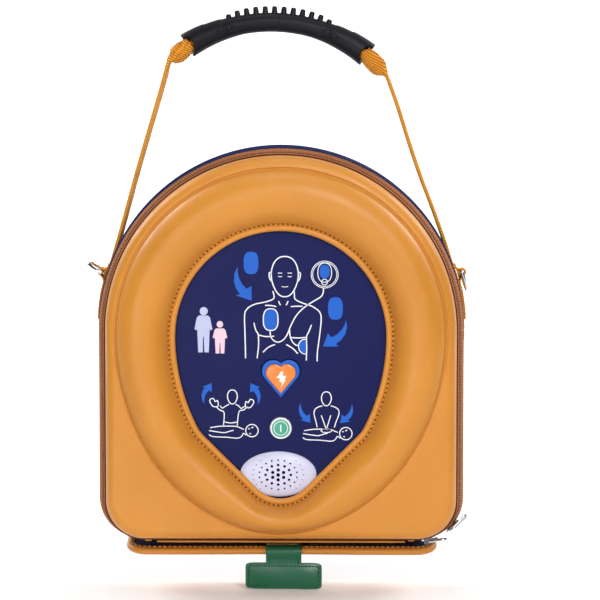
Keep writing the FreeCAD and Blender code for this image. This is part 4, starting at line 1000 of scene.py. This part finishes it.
def wire(points, radius, closed=False, sides=8):
    """Round bead along points in metres, with a radius in millimetres."""
    count = len(points)
    sections = []
    for i, point in enumerate(points):
        before = points[(i - 1) % count] if closed or i else point
        after = points[(i + 1) % count] if closed or i < count - 1 else point
        along = (Vector(after) - Vector(before)).normalized()
        side = (side - along * side.dot(along)).normalized() if i else along.orthogonal().normalized()
        over = along.cross(side)
        sections.append([Vector(point) + (side * math.cos(a) + over * math.sin(a)) * radius * MM
                         for a in np.linspace(0, 2 * math.pi, sides, endpoint=False)])
    return tube_sections(sections, closed)


def grip_triangle(centre, tip):
    """Raised outline of a triangle on the front of the grip, pointing left or right."""
    corners = [(tip * 5.6, 0.0), (tip * 0.8, 2.9), (tip * 0.8, -2.9)]
    _, _, radius, half_angle = bow_frame()
    points = []
    for i in range(3):
        a, b = corners[i], corners[(i + 1) % 3]
        for share in (0.0, 0.25, 0.5, 0.75):
            along = centre + a[0] + (b[0] - a[0]) * share
            across = a[1] + (b[1] - a[1]) * share
            size = grip_radius(half_angle * radius - abs(along), 0.0)
            points.append(bow_point(along, across, math.sqrt(size ** 2 - across ** 2) + 0.1))
    return wire(points, 0.45, closed=True)


def ring_loops():
    """Webbing folded round each D-ring's bar and sewn down the side."""
    surface = SHELL_RADIUS + 2 * WEB_HALF_THICK + 0.9
    eye_radius, eye_inset = 1.95, 2.3
    for side, label in ((-1, "left"), (1, "right")):
        low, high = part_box(f"ring_loop_{label}")
        eye_z = high.z / MM - eye_inset
        eye_x = (high.x if side > 0 else -low.x) / MM - eye_inset
        # centre of each arc, its radius, and the angles in degrees of its points
        arcs = [(-0.1, 0.0, surface, (19.6, 18.2)), (eye_x, eye_z, eye_radius, range(130, -81, -15)),
                (0.0, 0.0, surface, (14.2, 11.0, 8.0, 5.0, 2.0))]
        path = [(side * (cx + r * math.cos(math.radians(a))), cz + r * math.sin(math.radians(a)))
                for cx, cz, r, angles in arcs for a in angles]
        top, foot = path[1], path[-5]
        wedge = [(side * (eye_x - 1.6), eye_z + 0.9), (side * (eye_x - 1.6), eye_z - 0.9), foot, top]
        fill = stacked([(wedge, STRAP_DEPTH - 6.4), (wedge, STRAP_DEPTH + 6.4)])
        loop = ribbon_band(smooth_line(path, steps=3), 7.0, 0.6, STRAP_DEPTH)
        piece(f"ring_webbing_{label}", [loop, fill], "root", "webbing", [f"ring_loop_{label}"])
        rows = []
        for z in (7.5, 11.0):
            x = math.sqrt((surface + 0.6) ** 2 - z ** 2)
            rows += [stitch(at(side * x, STRAP_DEPTH - 5.2 + 2.6 * i, z), (0, 1, 0), (side, 0, 0.08),
                            length=2.1, radius=0.28) for i in range(5)]
        piece(f"ring_stitches_{label}", rows, "root", "webbing")


# ---------------------------------------------------------------- flap and pull tab


def flap_spot(along, above):
    """(depth, z) at a distance from the flap's hinge and a height over its middle plane."""
    depth = FLAP_HINGE[0] + along * math.cos(FLAP_DROOP) + above * math.sin(FLAP_DROOP)
    return depth, FLAP_HINGE[1] - along * math.sin(FLAP_DROOP) + above * math.cos(FLAP_DROOP)


def flap_outline(inset):
    """Right half of the panel's edge as (x, along), from the front middle to the rear middle."""
    corner, rear = 14.0 - inset, 8.9 + min(inset, 2.0)
    x_edge, front = FLAP_HALF_WIDTH - inset, FLAP_LENGTH + 0.6 - inset
    turn = np.radians(np.linspace(90, 0, 24))
    first = np.column_stack((np.linspace(0, x_edge - corner, 40)[:-1], np.full(39, front)))
    rounded = np.column_stack((np.cos(turn), np.sin(turn))) * corner + (x_edge - corner, front - corner)
    side = np.column_stack((np.full(8, x_edge), np.linspace(front - corner, rear, 9)[1:]))
    back = np.column_stack((np.linspace(x_edge, 0, 40)[1:], np.full(39, rear)))
    return np.vstack((first, rounded, side, back))


def flap_panel():
    """Padded leather flap with a piped edge."""
    under = [(10.0, -1.8), (6.5, -1.75), (3.8, -1.6), (2.6, -1.95), (1.8, -2.0), (0.9, -1.8), (0.25, -1.0)]
    over = [(0.0, 0.0), (0.15, 0.8), (0.6, 1.5), (1.3, 1.95), (2.1, 2.25), (2.7, 2.35), (3.3, 2.35),
            (3.9, 2.6), (4.4, 2.6), (5.0, 2.1), (5.5, 1.7), (7.0, 1.6), (10.0, 1.6)]
    loops = []
    for inset, height in under + over:
        half = flap_outline(inset)
        whole = np.vstack((half, (half[1:-1] * (-1, 1))[::-1]))
        sag = 0.175 * np.cos(whole[:, 0] / FLAP_HALF_WIDTH * 4.2)
        loops.append([at(x, *flap_spot(u, height + s)) for (x, u), s in zip(whole, sag)])
    vertices, faces = tube_sections(loops)
    faces = faces[:-2] + flap_caps(len(loops), len(loops[0]), len(flap_outline(0)))
    panel = piece("flap_panel", [(vertices, faces)], "flap", "flap_leather", ["bottom_flap"])
    panel.data.materials.append(MATERIALS["lining"])
    lined = (len(loops) - 4) * len(loops[0])
    for face in panel.data.polygons:
        if min(face.vertices) >= lined:
            face.material_index = 1
    flap_stitches()


def flap_stitches():
    """Thread, lightened as painted highlight, and dark dots of painted shadow between the stitches, along the
    flap's front and sides, left out under the pull tab.
    """
    edge = flap_outline(3.1)
    run = edge[: int(len(edge) * 0.64)]
    out = (0, -0.2, 1)
    rows, holes = [], []
    for sign in (-1, 1):
        for point, tangent in zip(*spaced(run * (sign, 1), 3.1, closed=False)):
            if abs(point[0] - TAB_CENTRE) < 12.5:
                continue
            a, b = flap_spot(point[1], 2.75), flap_spot(point[1] + tangent[1], 2.75)
            direction = at(tangent[0], b[0] - a[0], b[1] - a[1])
            # thread lighter than the leather: partly painted highlight
            rows.append(stitch(at(point[0], *a), direction, out, length=2.4, radius=0.55))
            # dark dot beside each thread: painted shadow at the stitch end
            gap = point + tangent * 1.55
            holes.append(stitch(at(gap[0], *flap_spot(gap[1], 2.62)), direction, out, length=1.0, radius=0.5))
    piece("flap_stitches", rows, "flap", "gold_thread")
    piece("flap_stitch_shadows", holes, "flap", "needle_hole")


def flap_caps(rows, columns, half_count):
    """Ladders of quads that close the flat middle of the panel below and above."""
    faces = []
    last = half_count - 1
    for start in (0, (rows - 1) * columns):
        for i in range(last):
            across = columns - i - 1 if i + 1 < last else last
            quad = [start + i, start + i + 1, start + across, start + (columns - i) % columns]
            faces.append(tuple(dict.fromkeys(quad)))
    return [f for f in faces if len(f) > 2]


def flap_hinges():
    """Leather strips along the flap's two fold lines."""
    lead = [(6.2, -133.7), (4.6, -133.75), (3.3, -134.0), (2.8, -134.6)]
    path = smooth_line(lead + [flap_spot(u, -0.1) for u in (1.0, 3.0, 5.0, 7.2)], steps=5)
    root_strip = piece("flap_root_strip", [side_band(path, 96.5, 0.6, 0.0, 8.0, 56)], None, "lining",
                       ["flap_hinge_strip"])
    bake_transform(root_strip)
    path = [flap_spot(u, 0.0) for u in np.linspace(5.6, 12.5, 18)]
    fold_strip = piece("flap_fold_strip", [side_band(path, 96.0, 0.78, 0.0, 8.0, 56)], None, "lining")
    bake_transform(fold_strip)


def pull_tab():
    """Green T: stem sewn on the flap, folded over its edge, and a cross bar that hangs."""
    low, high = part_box("pull_tab_stem")
    half = (high.x - low.x) / 2 / MM
    depth = -(low.y + high.y) / 2 / MM
    bar_low, bar_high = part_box("pull_tab_bar")
    path = [flap_spot(26.5, 2.5), flap_spot(31.0, 2.7), flap_spot(34.5, 3.4), flap_spot(38.0, 3.3),
            flap_spot(40.8, 2.7), flap_spot(42.5, 0.6)]
    path += [(depth + 0.3, -146.6), (depth + 0.1, -148.6), (depth, -151.5), (depth, -154.0)]
    band = side_band(smooth_line(path, steps=7), half, 0.85, TAB_CENTRE, 9.0, 40)
    stem = piece("pull_tab_webbing", [band], None, "tab_webbing", ["pull_tab_root", "pull_tab_stem"])
    pivot = frame_joint("tab_swing")
    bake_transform(stem)
    tab_bar(bar_low, bar_high)
    tab_stitches(half, depth, bar_low, bar_high)


def frame_joint(name):
    """Place of a joint of the frame."""
    joint = next(j for j in frame["joints"] if j["name"] == name)
    return Vector(joint["pos_m"])


def bar_curl(across):
    """Curl of the cross bar in millimetres, at -1 to 1 of the way across it."""
    return 0.35 * math.sin(across * 2.6 + 0.6)


def tab_bar(low, high):
    """Soft flat bar with rounded edges, a slight curl and a slight tilt."""
    centre, half = (low + high) / 2, (high - low) / 2
    profile = superellipse(1.0, 1.0, 10.0, 64)
    sections = []
    for share, grow in ((-1.0, 0.965), (-0.72, 0.992), (-0.3, 1.0), (0.3, 1.0), (0.72, 0.992), (1.0, 0.965)):
        loop = []
        for a, b in profile:
            x, z = a * half.x * grow, b * half.z * (grow + (1 - grow) * -0.4)
            y = (bar_curl(a) + 0.2 * b - share * 1.25) * MM
            loop.append(centre + Vector((x, y, z - TAB_TILT * x)))
        sections.append(loop)
    piece("pull_tab_cross_bar", [tube_sections(sections)], "tab", "tab_webbing", ["pull_tab_bar"], sharp=60)


def tab_stitches(half, depth, low, high):
    """Rows of thread along the edges of the stem and the bar."""
    front, edge = (0, -1, 0), 2.0
    rows = []
    for side in (-1, 1):
        for z in np.arange(-147.4, -150.2, -2.3):
            rows.append(stitch(at(TAB_CENTRE + side * (half - edge), depth + 1.0, z), (0.05, 0, 1), front,
                               length=1.8, radius=0.36))
    centre_x, half_x = (low.x + high.x) / 2 / MM, (high.x - low.x) / 2 / MM
    left, right = low.x / MM + edge, high.x / MM - edge
    bottom, top = low.z / MM + edge, high.z / MM - edge
    box = [(left, bottom), (right, bottom), (right, top), (left, top), (left, bottom)]
    for x, z, along, up in stitches_between(box, 2.3):
        lift = 1.32 - bar_curl((x - centre_x) / half_x)
        rows.append(stitch(at(x, depth + lift, z - TAB_TILT * (x - centre_x)), (along, 0, up), front,
                           length=1.9, radius=0.38))
    piece("pull_tab_stitches", rows, "tab", "tab_thread")
    # seam thread lighter than the leather: partly painted highlight
    seam = [stitch(at(TAB_CENTRE + x, *flap_spot(37.2, 4.35)), (1, 0, 0), (0, -0.2, 1),
                   length=2.1, radius=0.45)
            for x in np.arange(-half + 1.5, half - 1, 2.5)]
    piece("pull_tab_seam", seam, "flap", "gold_thread")


def fastener_patches():
    """Hook-and-loop patches with their pile."""
    step = 1.5
    for node, body, up in (("flap_hook_patch", "flap", 1), ("case_loop_patch", "root", -1)):
        low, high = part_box(node)
        left, right = low.x / MM, high.x / MM
        if up > 0:
            droop, spans = FLAP_DROOP, [(left, left + 30), (right - 30, right)]
            spots = [flap_spot(u, 2.0) for u in np.arange(FLAP_LENGTH - 12.4, FLAP_LENGTH - 5.4, step)]
        else:
            droop, spans = 0.0, [(left, right)]
            spots = [(d, low.z / MM + 0.3) for d in np.arange(-high.y / MM + 0.5, -low.y / MM, step)]
        normal = Vector((0, -math.sin(droop), up * math.cos(droop)))
        parts = []
        for x in np.concatenate([np.arange(x0 + 0.8, x1 - 0.4, step) for x0, x1 in spans]):
            for depth, z in spots:
                base = at(x + rng.uniform(-0.3, 0.3), depth + rng.uniform(-0.3, 0.3), z)
                lean = Vector((rng.uniform(-0.5, 0.5), rng.uniform(-0.5, 0.5), 0))
                parts.append(stitch(base, normal + lean, (1, 0, 0), length=1.1, radius=0.16))
        piece(f"{node}_pile", parts, body, "hook_and_loop")


# ---------------------------------------------------------------- defibrillator's face


def ribbon_print(points, width, depth, thick=0.12, closed=False):
    """Thin raised printed line through (x, z) points."""
    points = np.asarray(points, float)
    before = np.roll(points, 1, axis=0) if closed else np.vstack((points[:1], points[:-1]))
    after = np.roll(points, -1, axis=0) if closed else np.vstack((points[1:], points[-1:]))
    along = after - before
    along /= np.linalg.norm(along, axis=1)[:, None] + 1e-9
    across = np.column_stack((-along[:, 1], along[:, 0])) * width / 2
    low, high = depth - 0.05, depth + thick
    sections = [[at(p[0] + side * a[0], level, p[1] + side * a[1])
                 for side, level in ((-1, low), (-1, high), (1, high), (1, low))]
                for p, a in zip(points, across)]
    return tube_sections(sections, closed)


def filled_print(outline, depth, thick=0.1):
    """Thin raised printed area with an (x, z) outline."""
    return tube_sections([[at(x, depth + d, z) for x, z in outline] for d in (-0.05, thick)])


def oval(cx, cz, half_x, half_z, power=2.0, count=40):
    """Closed outline about a centre."""
    return superellipse(half_x, half_z, power, count) + (cx, cz)


ARROW = [(-26.8, 39.3), (-28.8, 35.3), (-29.2, 30.2), (-27.9, 25.7), (-25.4, 22.1), (-28.2, 21.4),
         (-18.1, 18.0), (-18.3, 27.2), (-21.3, 25.4), (-24.1, 28.3), (-26.1, 32.2), (-26.9, 36.0)]
ARROW_TIP = 6


def arrow(tail, tip, mirrored):
    """Curved arrow moved so that its tail and tip lie at the given places."""
    points = [complex(*point) for point in ARROW]
    points = [p - points[0] for p in points]
    if mirrored:
        points = [p.conjugate() for p in points]
    turn = (complex(*tip) - complex(*tail)) / points[ARROW_TIP]
    placed = [p * turn + complex(*tail) for p in points]
    return [(p.real, p.imag) for p in placed]


# standing adult or child, without the head
FIGURE = [(-2.9, 8.7), (2.9, 8.7), (4.2, 7.2), (5.6, 0.0), (4.4, -0.5), (3.9, 0.3), (3.3, -14.4),
          (0.5, -14.4), (0.25, -4.6), (-0.25, -4.6), (-0.5, -14.4), (-3.3, -14.4), (-3.9, 0.3),
          (-4.4, -0.5), (-5.6, 0.0), (-4.2, 7.2)]

# patient lying down, shared by both small scenes
PATIENT = [
    [(-44.2, -61.8), (-40.0, -61.1), (-36.1, -60.8), (-28.4, -60.9), (-25.4, -61.9), (-23.1, -62.9)],
    [(-45.0, -66.1), (-42.5, -67.4), (-34.0, -67.8), (-27.5, -68.4), (-24.8, -67.4), (-23.4, -65.4),
     (-21.6, -66.6)],
    [(-44.9, -63.6), (-40.0, -64.4), (-35.4, -64.9), (-32.0, -64.0), (-29.6, -63.4)],
]
PATIENT_FACE = [[(-18.5, -61.9), (-17.2, -61.4)], [(-20.4, -62.6), (-19.5, -62.2)],
                [(-19.7, -65.4), (-18.6, -65.7)]]


def torso_lines():
    """Bare torso with the electrode pads in place, as curves of (x, z) points."""
    lines = [
        [(-5.0, 24.0), (-4.3, 21.7), (-4.6, 19.2), (-9.0, 17.4), (-16.8, 15.6), (-21.4, 12.4), (-22.6, 8.0),
         (-22.3, -4.0), (-22.0, -18.1)],
        [(8.4, 24.0), (8.5, 21.7), (9.2, 18.8), (14.0, 16.4), (19.4, 14.6), (24.2, 11.0), (25.2, 6.0),
         (24.2, -4.0), (22.9, -14.0), (22.7, -20.0)],
        [(-16.8, 4.2), (-15.6, -0.4), (-14.1, -3.3), (-13.9, -10.0), (-14.8, -18.1)],
        [(19.2, 2.9), (17.4, -1.6), (16.1, -4.6), (16.2, -12.0), (15.9, -19.4)],
        [(-14.1, -3.3), (-9.8, -4.4), (-4.1, -4.2)],
        [(6.1, -5.0), (10.8, -5.3), (16.1, -4.9)],
        [(-9.8, 15.1), (-6.0, 15.0), (-2.8, 14.3)],
        [(6.3, 14.3), (9.6, 14.6), (13.5, 14.5)],
        [(-1.4, 17.8), (-0.2, 15.2)],
        [(4.6, 17.8), (3.4, 15.2)],
        [(-11.1, -14.3), (-7.8, -11.2), (-3.6, -9.4)],
        [(3.4, -9.4), (7.4, -11.8), (10.6, -15.1)],
        # lead from the pads to the connector
        [(-6.7, -1.1), (-6.2, -4.6), (-4.3, -7.0), (-1.6, -7.9), (1.4, -6.6), (4.0, -3.2), (6.1, 2.0),
         (9.6, 8.6), (14.4, 13.6), (19.6, 17.2), (24.6, 20.2), (26.3, 22.6), (26.7, 26.0)],
        [(5.6, -0.2), (5.8, -4.0), (7.2, -7.6), (9.2, -9.6), (11.3, -10.2)],
    ]
    curves = [smooth_line(line, steps=6) for line in lines]
    face = [[(-1.8, 35.3), (0.9, 35.3)], [(-1.5, 33.4), (-0.4, 32.9), (0.8, 33.4)],
            [(4.2, 35.3), (7.0, 35.3)], [(4.4, 33.4), (5.6, 32.9), (6.8, 33.4)],
            [(0.6, 26.9), (2.6, 26.6), (4.6, 26.9)]]
    return curves, [smooth_line(line, steps=4) for line in face]


def head_outline(cx, cz, half_x, half_z):
    """Head: a round skull that narrows to the chin."""
    loop = superellipse(half_x, half_z, 2.25, 48)
    narrow = 1 - 0.17 * smoothstep((-loop[:, 1] / half_z + 0.15) / 1.1)
    return np.column_stack((cx + loop[:, 0] * narrow, cz + loop[:, 1]))


def small_scene_lines():
    """Two rescuers with their patients, as curves of (x, z) points."""
    stand_clear = [
        [(-32.4, -47.0), (-34.6, -48.2), (-36.6, -49.4), (-38.0, -47.9)],
        [(-28.2, -47.0), (-26.2, -48.2), (-24.8, -49.6), (-22.6, -48.2)],
        [(-40.2, -48.8), (-38.0, -50.8), (-35.5, -52.4), (-35.9, -60.2)],
        [(-20.6, -48.6), (-23.4, -50.6), (-26.2, -51.8), (-27.3, -60.4)],
        [(-35.8, -58.0), (-31.6, -58.8), (-27.2, -58.2)],
    ]
    compress = [
        [(26.0, -47.9), (23.6, -48.6), (21.4, -50.2), (20.8, -53.0), (22.0, -58.0), (22.8, -61.4)],
        [(31.2, -47.9), (33.6, -48.6), (35.9, -50.2), (36.4, -53.0), (34.6, -58.0), (33.5, -61.6)],
        [(25.3, -53.9), (28.2, -62.0)],
        [(31.2, -53.9), (28.8, -62.0)],
    ]
    curves = [smooth_line(line, steps=5) for line in stand_clear + compress]
    for shift_x, shift_z in ((0.0, 0.0), (58.8, -1.8)):
        curves += [smooth_line(line, steps=5) + (shift_x, shift_z) for line in PATIENT]
        curves += [np.array(line) + (shift_x, shift_z) for line in PATIENT_FACE]
    return curves


# pad half hidden behind the arm
HALF_PAD = smooth_line([(15.6, -6.0), (13.2, -6.6), (11.4, -8.6), (11.1, -10.8), (11.8, -13.2), (13.6, -15.0),
                        (15.6, -15.4)], steps=4)


def white_prints(depth):
    """White lines of the pictures."""
    torso, face = torso_lines()
    ear = np.array([(8.3, 36.0), (9.7, 35.2), (9.4, 32.0), (8.0, 29.8)])
    ears = [smooth_line(ear * (side, 1) + (2.5, 0.0), steps=4) for side in (-1, 1)]
    hand = np.array([(-2.4, -2.2), (-2.0, 1.0), (-0.6, 0.2), (0.6, 2.2), (2.4, 1.8), (2.8, 0.2), (1.0, -2.6),
                     (-1.0, -3.0)])
    hands = [smooth_line(hand * (side, 1) + middle, closed=True, steps=3)
             for side, middle in ((-1, (-41.6, -45.6)), (1, (-19.8, -46.2)))]
    body_line, scene_line = 0.72, 0.6
    open_lines = [(line, body_line, 0.12) for line in torso + ears] + [(line, 0.45, 0.12) for line in face]
    open_lines += [(HALF_PAD, 0.55, 0.14)] + [(line, scene_line, 0.12) for line in small_scene_lines()]
    closed_lines = [
        (head_outline(2.5, 33.1, 8.5, 12.6), body_line, 0.12),
        (oval(-6.3, 6.2, 4.6, 6.8, 2.6), 0.65, 0.14),
        (oval(27.4, 34.4, 8.4, 8.4), 0.42, 0.12),
        (oval(27.4, 34.4, 7.5, 7.5), 0.42, 0.12),
        (oval(27.4, 35.6, 4.3, 6.0, 2.3), 0.5, 0.12),
        (oval(27.3, 29.7, 1.8, 1.8), 0.5, 0.12),
        (head_outline(-30.3, -42.4, 3.1, 4.4), scene_line, 0.12),
        (head_outline(28.5, -43.5, 3.1, 4.4), scene_line, 0.12),
        (oval(28.5, -63.6, 3.3, 1.15), 0.55, 0.12),
        (oval(-18.1, -63.6, 3.9, 3.9), scene_line, 0.12),
        (oval(40.7, -65.4, 3.9, 3.9), scene_line, 0.12),
    ] + [(line, scene_line, 0.12) for line in hands]
    return ([ribbon_print(line, width, depth, thick) for line, width, thick in open_lines]
            + [ribbon_print(line, width, depth, thick, closed=True) for line, width, thick in closed_lines])


def blue_prints(depth):
    """Blue electrode pads and arrows."""
    pads = [oval(-6.3, 6.2, 4.3, 6.5, 2.6), oval(-18.5, 41.6, 4.6, 7.0, 2.8), oval(34.1, 13.2, 4.6, 7.0, 2.8),
            HALF_PAD, oval(27.4, 36.2, 3.1, 4.2, 2.6)]
    arrows = [arrow(*ends) for ends in (
        ((-26.8, 39.3), (-18.1, 18.0), False), ((40.8, 5.9), (26.4, -10.6), True),
        ((-47.9, -46.8), (-43.3, -33.8), True), ((-14.6, -47.5), (-18.9, -33.8), False),
        ((12.4, -46.1), (18.6, -58.6), False), ((44.4, -46.8), (37.1, -58.9), True))]
    return [filled_print(outline, depth) for outline in pads + arrows]


def face_prints():
    """Pictures on the front label."""
    depth = LABEL_DEPTH
    piece("label_white_prints", white_prints(depth), "root", "print_white", smooth=False)
    piece("label_blue_prints", blue_prints(depth), "root", "print_blue", smooth=False)
    adult = [[(x - 48.3, z) for x, z in FIGURE], oval(-48.1, 11.4, 2.5, 2.6)]
    child = [[(x * 0.82 - 38.0, z * 0.68 - 5.3) for x, z in FIGURE], oval(-38.0, 3.2, 2.0, 2.1)]
    for name, outlines, finish in (("label_adult", adult, "print_grey"),
                                   ("label_child", child, "print_pink")):
        piece(name, [filled_print(outline, depth) for outline in outlines], "root", finish, smooth=False)


def heart_outline(side):
    """Square on its corner with a half circle on each upper side, stretched downwards."""
    half, lobe = side / math.sqrt(2), side / 2
    turn = np.radians(np.linspace(135, -45, 36))
    right = np.column_stack((half / 2 + lobe * np.cos(turn), half / 2 + lobe * np.sin(turn)))
    edge = np.linspace((half, 0), (0, -half), 12)[1:]
    shape = np.vstack((right, edge))
    shape[:, 1] = np.where(shape[:, 1] < 0, shape[:, 1] * 1.17, shape[:, 1])
    left = (shape[:-1] * (-1, 1))[::-1]
    return np.vstack((shape, left[:-1])) + (0.0, -31.0)


def stacked(layers):
    """Solid through closed outlines at rising depths."""
    return tube_sections([[at(x, depth, z) for x, z in outline] for outline, depth in layers])


def shock_button():
    """Heart-shaped key: blue body, orange heart, white flash and two highlights."""
    face = BUTTON_FACE
    body = [(13.9, -span("shock_button", 1)[1]), (14.0, face - 0.6), (13.7, face - 0.1), (13.1, face + 0.1),
            (11.2, face + 0.1), (10.9, face - 0.3)]
    heart = [(10.9, face - 0.4), (10.9, face + 0.2), (10.4, face + 0.5), (9.2, face + 0.72),
             (6.0, face + 0.86), (2.0, face + 0.9)]
    body, heart = ([stacked([(heart_outline(side), depth) for side, depth in layers])]
                   for layers in (body, heart))
    piece("shock_button_body", body, "shock_key", "print_blue", ["shock_button"], sharp=35)
    piece("shock_button_heart", heart, "shock_key", "orange_plastic")
    bolt = [(0.3, 4.6), (2.3, 4.6), (1.9, 1.4), (4.6, 1.6), (3.4, -1.4), (4.0, -1.6), (0.6, -7.0),
            (1.3, -3.1), (-0.6, -2.9), (-0.3, -0.4), (-3.2, 0.2), (-1.2, 1.9)]
    marks = [filled_print([(x * 0.82 - 0.3, z * 0.86 - 30.2) for x, z in bolt], face + 0.8, 0.16)]
    for cx in (-3.9, 4.3):
        shine = smooth_line([(cx - 2.6, -25.6), (cx, -24.0), (cx + 2.4, -25.2), (cx + 3.4, -27.4)], steps=5)
        marks.append(ribbon_print(shine, 0.75, face + 0.35, 0.14))
    piece("shock_button_marks", marks, "shock_key", "print_white", smooth=False)


def on_off_button():
    """Round key: white collar, green cap, white ring and bar."""
    face = BUTTON_FACE
    low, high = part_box("on_off_button")
    cx, cz = (low.x + high.x) / 2 / MM, (low.z + high.z) / 2 / MM
    collar = [(1.8, -high.y / MM), (1.8, face - 6.0), (8.2, face - 5.4), (8.2, face - 4.2), (6.8, face - 4.1),
              (6.8, face - 0.5), (6.55, face + 0.05), (6.1, face + 0.25), (5.7, face + 0.25), (5.55, face)]
    cap = [(5.75, face - 0.3), (5.75, face + 0.1), (5.5, face + 0.24), (4.0, face + 0.42), (2.0, face + 0.5),
           (0.4, face + 0.52)]
    collar, cap = ([stacked([(oval(cx, cz, r, r, count=64), depth) for r, depth in layers])]
                   for layers in (collar, cap))
    piece("on_off_button_ring", collar, "power_key", "print_white", ["on_off_button"], sharp=35)
    piece("on_off_button_cap", cap, "power_key", "green_plastic")
    marks = [ribbon_print(oval(cx, cz, 4.3, 4.3), 0.42, face + 0.36, 0.16, closed=True),
             ribbon_print([(cx, cz + 2.3), (cx, cz - 2.3)], 0.8, face + 0.5, 0.14)]
    piece("on_off_button_marks", marks, "power_key", "print_white", smooth=False)


def speaker_grille():
    """Domed oval grille with rings of sound holes that shrink outwards."""
    low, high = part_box("speaker_grille")
    cx, cz = (low.x + high.x) / 2 / MM - 1.6, (low.z + high.z) / 2 / MM
    wide, tall = (high.x - low.x) / 2 / MM, (high.z - low.z) / 2 / MM
    base, wall = -high.y / MM, 1.1
    pitch_x, pitch_z = 3.953, 3.082
    profile = [(1.0, 0.05), (1.0, 0.55), (0.985, 0.9), (0.94, 1.5), (0.84, 2.35), (0.68, 3.15), (0.48, 3.75),
               (0.26, 4.1), (0.08, 4.25)]
    layers = [(oval(cx, cz, wide * s, tall * s, count=96), base + d) for s, d in profile]
    under = [(oval(cx, cz, wide * s * 0.95, tall * s * 0.93, count=96), base + max(d - wall, 0.05))
             for s, d in profile]
    grille = joined("speaker_grille_dome", [stacked(under[::-1] + layers)])
    pegs = []
    for ring, bore in enumerate((1.2, 1.08, 0.86, 0.58, 0.34)):
        count = 6 * ring or 1
        for step in range(count):
            angle = math.pi / 2 + 2 * math.pi * step / count
            if ring == 4 and abs(math.sin(angle)) > 0.8:
                continue
            x, z = cx + pitch_x * ring * math.cos(angle), cz + pitch_z * ring * math.sin(angle)
            hole = oval(x, z, bore, bore, count=16)
            pegs.append(stacked([(hole, base - 2), (hole, base + 7)]))
    carve(grille, joined("hole_tool", pegs))
    sharpen(grille, 40)
    dress(grille, "root", "grey_plastic", ["speaker_grille"])


# ---------------------------------------------------------------- stage


def aim(item, target):
    """Turn a lamp or camera towards a point."""
    item.rotation_mode = "QUATERNION"
    item.rotation_quaternion = (Vector(target) - item.location).to_track_quat("-Z", "Y")


def add_light(name, place, target, size, power):
    """Soft square lamp that no camera sees."""
    lamp = bpy.data.lights.new(name, "AREA")
    lamp.shape = "SQUARE"
    lamp.size = size
    lamp.energy = power
    item = new_object(name, lamp)
    item.location = place
    item.visible_camera = False
    aim(item, target)


def studio():
    """Pale sweep, soft lamps and a bright surround."""
    low = cad_box[0].z - 0.0006
    back, radius = 2.4, 0.9
    profile = [(-3.0, low), (back - radius, low)]
    profile += [(back - radius + radius * math.sin(a), low + radius - radius * math.cos(a))
                for a in np.linspace(0.1, math.pi / 2, 12)]
    profile += [(back, 2.6)]
    vertices = [(x, y, z) for x in (-3.5, 3.5) for y, z in profile]
    count = len(profile)
    faces = [(i, i + 1, count + i + 1, count + i) for i in range(count - 1)]
    sweep = add_mesh("studio_sweep", vertices, faces)
    paint = Paint("paper_sweep", (0.93, 0.93, 0.93), 0.9, specular=0.1)
    paint.relief(paint.noise(40.0), 0.3, 0.2)
    sweep.data.materials.append(paint.material)
    centre = (0.0, -0.04, 0.0)
    add_light("key", (0.45, -1.45, 0.85), centre, 0.6, 16.0)
    add_light("fill", (-0.55, -1.6, 0.15), centre, 0.7, 7.0)
    add_light("top", (0.0, -0.15, 1.3), centre, 0.6, 3.5)
    for name, x in (("backdrop_left", -1.9), ("backdrop_right", 1.9)):
        add_light(name, (x, 1.1, 1.6), (0.0, 2.4, 0.5), 1.2, 62.0)
    for side in (-1, 1):
        dark_card(side)
    world = bpy.data.worlds.new("surround")
    bpy.context.scene.world = world
    world.use_nodes = True
    light = world.node_tree.nodes["Background"].inputs
    light["Color"].default_value = (1.0, 1.0, 1.0, 1.0)
    light["Strength"].default_value = 0.2
    bpy.context.scene.view_settings.view_transform = "Standard"


def dark_card(side):
    """Black card beside the object, for the chrome and the leather's edges to reflect."""
    x = side * 0.75
    corners = [(x, -1.1, -0.16), (x, 0.1, -0.16), (x, 0.1, 0.75), (x, -1.1, 0.75)]
    card = add_mesh("dark_card_left" if side < 0 else "dark_card_right", corners, [(0, 1, 2, 3)])
    paint = Paint("black_card", (0.01, 0.01, 0.01), 0.9, specular=0.05)
    paint.relief(paint.noise(30.0), 0.2, 0.2)
    card.data.materials.append(paint.material)
    card.visible_camera = False


def camera():
    """Long lens, a little above the middle of the case."""
    data = bpy.data.cameras.new("camera")
    item = new_object("camera", data)
    data.lens = 153.6
    data.sensor_width = 36.0
    target = Vector((0.0119, -0.047, 0.0178))
    item.location = target + Vector((0.02, -1.6, 0.126))
    aim(item, target)
    data.dof.use_dof = False
    bpy.context.scene.camera = item


# ---------------------------------------------------------------- build


def build():
    """Every visible piece."""
    camera()
    studio()
    dress_cad_nodes()
    back_skin()
    foam_lining()
    coil_rear = SEAM_DEPTH + 3.6
    coil_front = RIM_DEPTH - 3.6
    zip_band("rear_tape", "root", SEAM_DEPTH + 0.05, coil_rear, "rear_zip_tape")
    zip_band("front_tape", "cover", coil_front, RIM_DEPTH - 0.15, "front_zip_tape")
    zip_teeth("rear_coil", "root", coil_rear - 0.5, 47.2, 0.0, "rear_zip_coil")
    zip_teeth("front_coil", "cover", 46.8, coil_front + 0.5, 0.5, "front_zip_coil")
    tape_seam()
    rim_cord_and_shadow()
    back_panel()
    cover_skin()
    window_stitches()
    bottom_gusset()
    straps()
    moulded_grip()
    ring_loops()
    flap_panel()
    flap_hinges()
    pull_tab()
    fastener_patches()
    face_prints()
    shock_button()
    on_off_button()
    speaker_grille()


build()
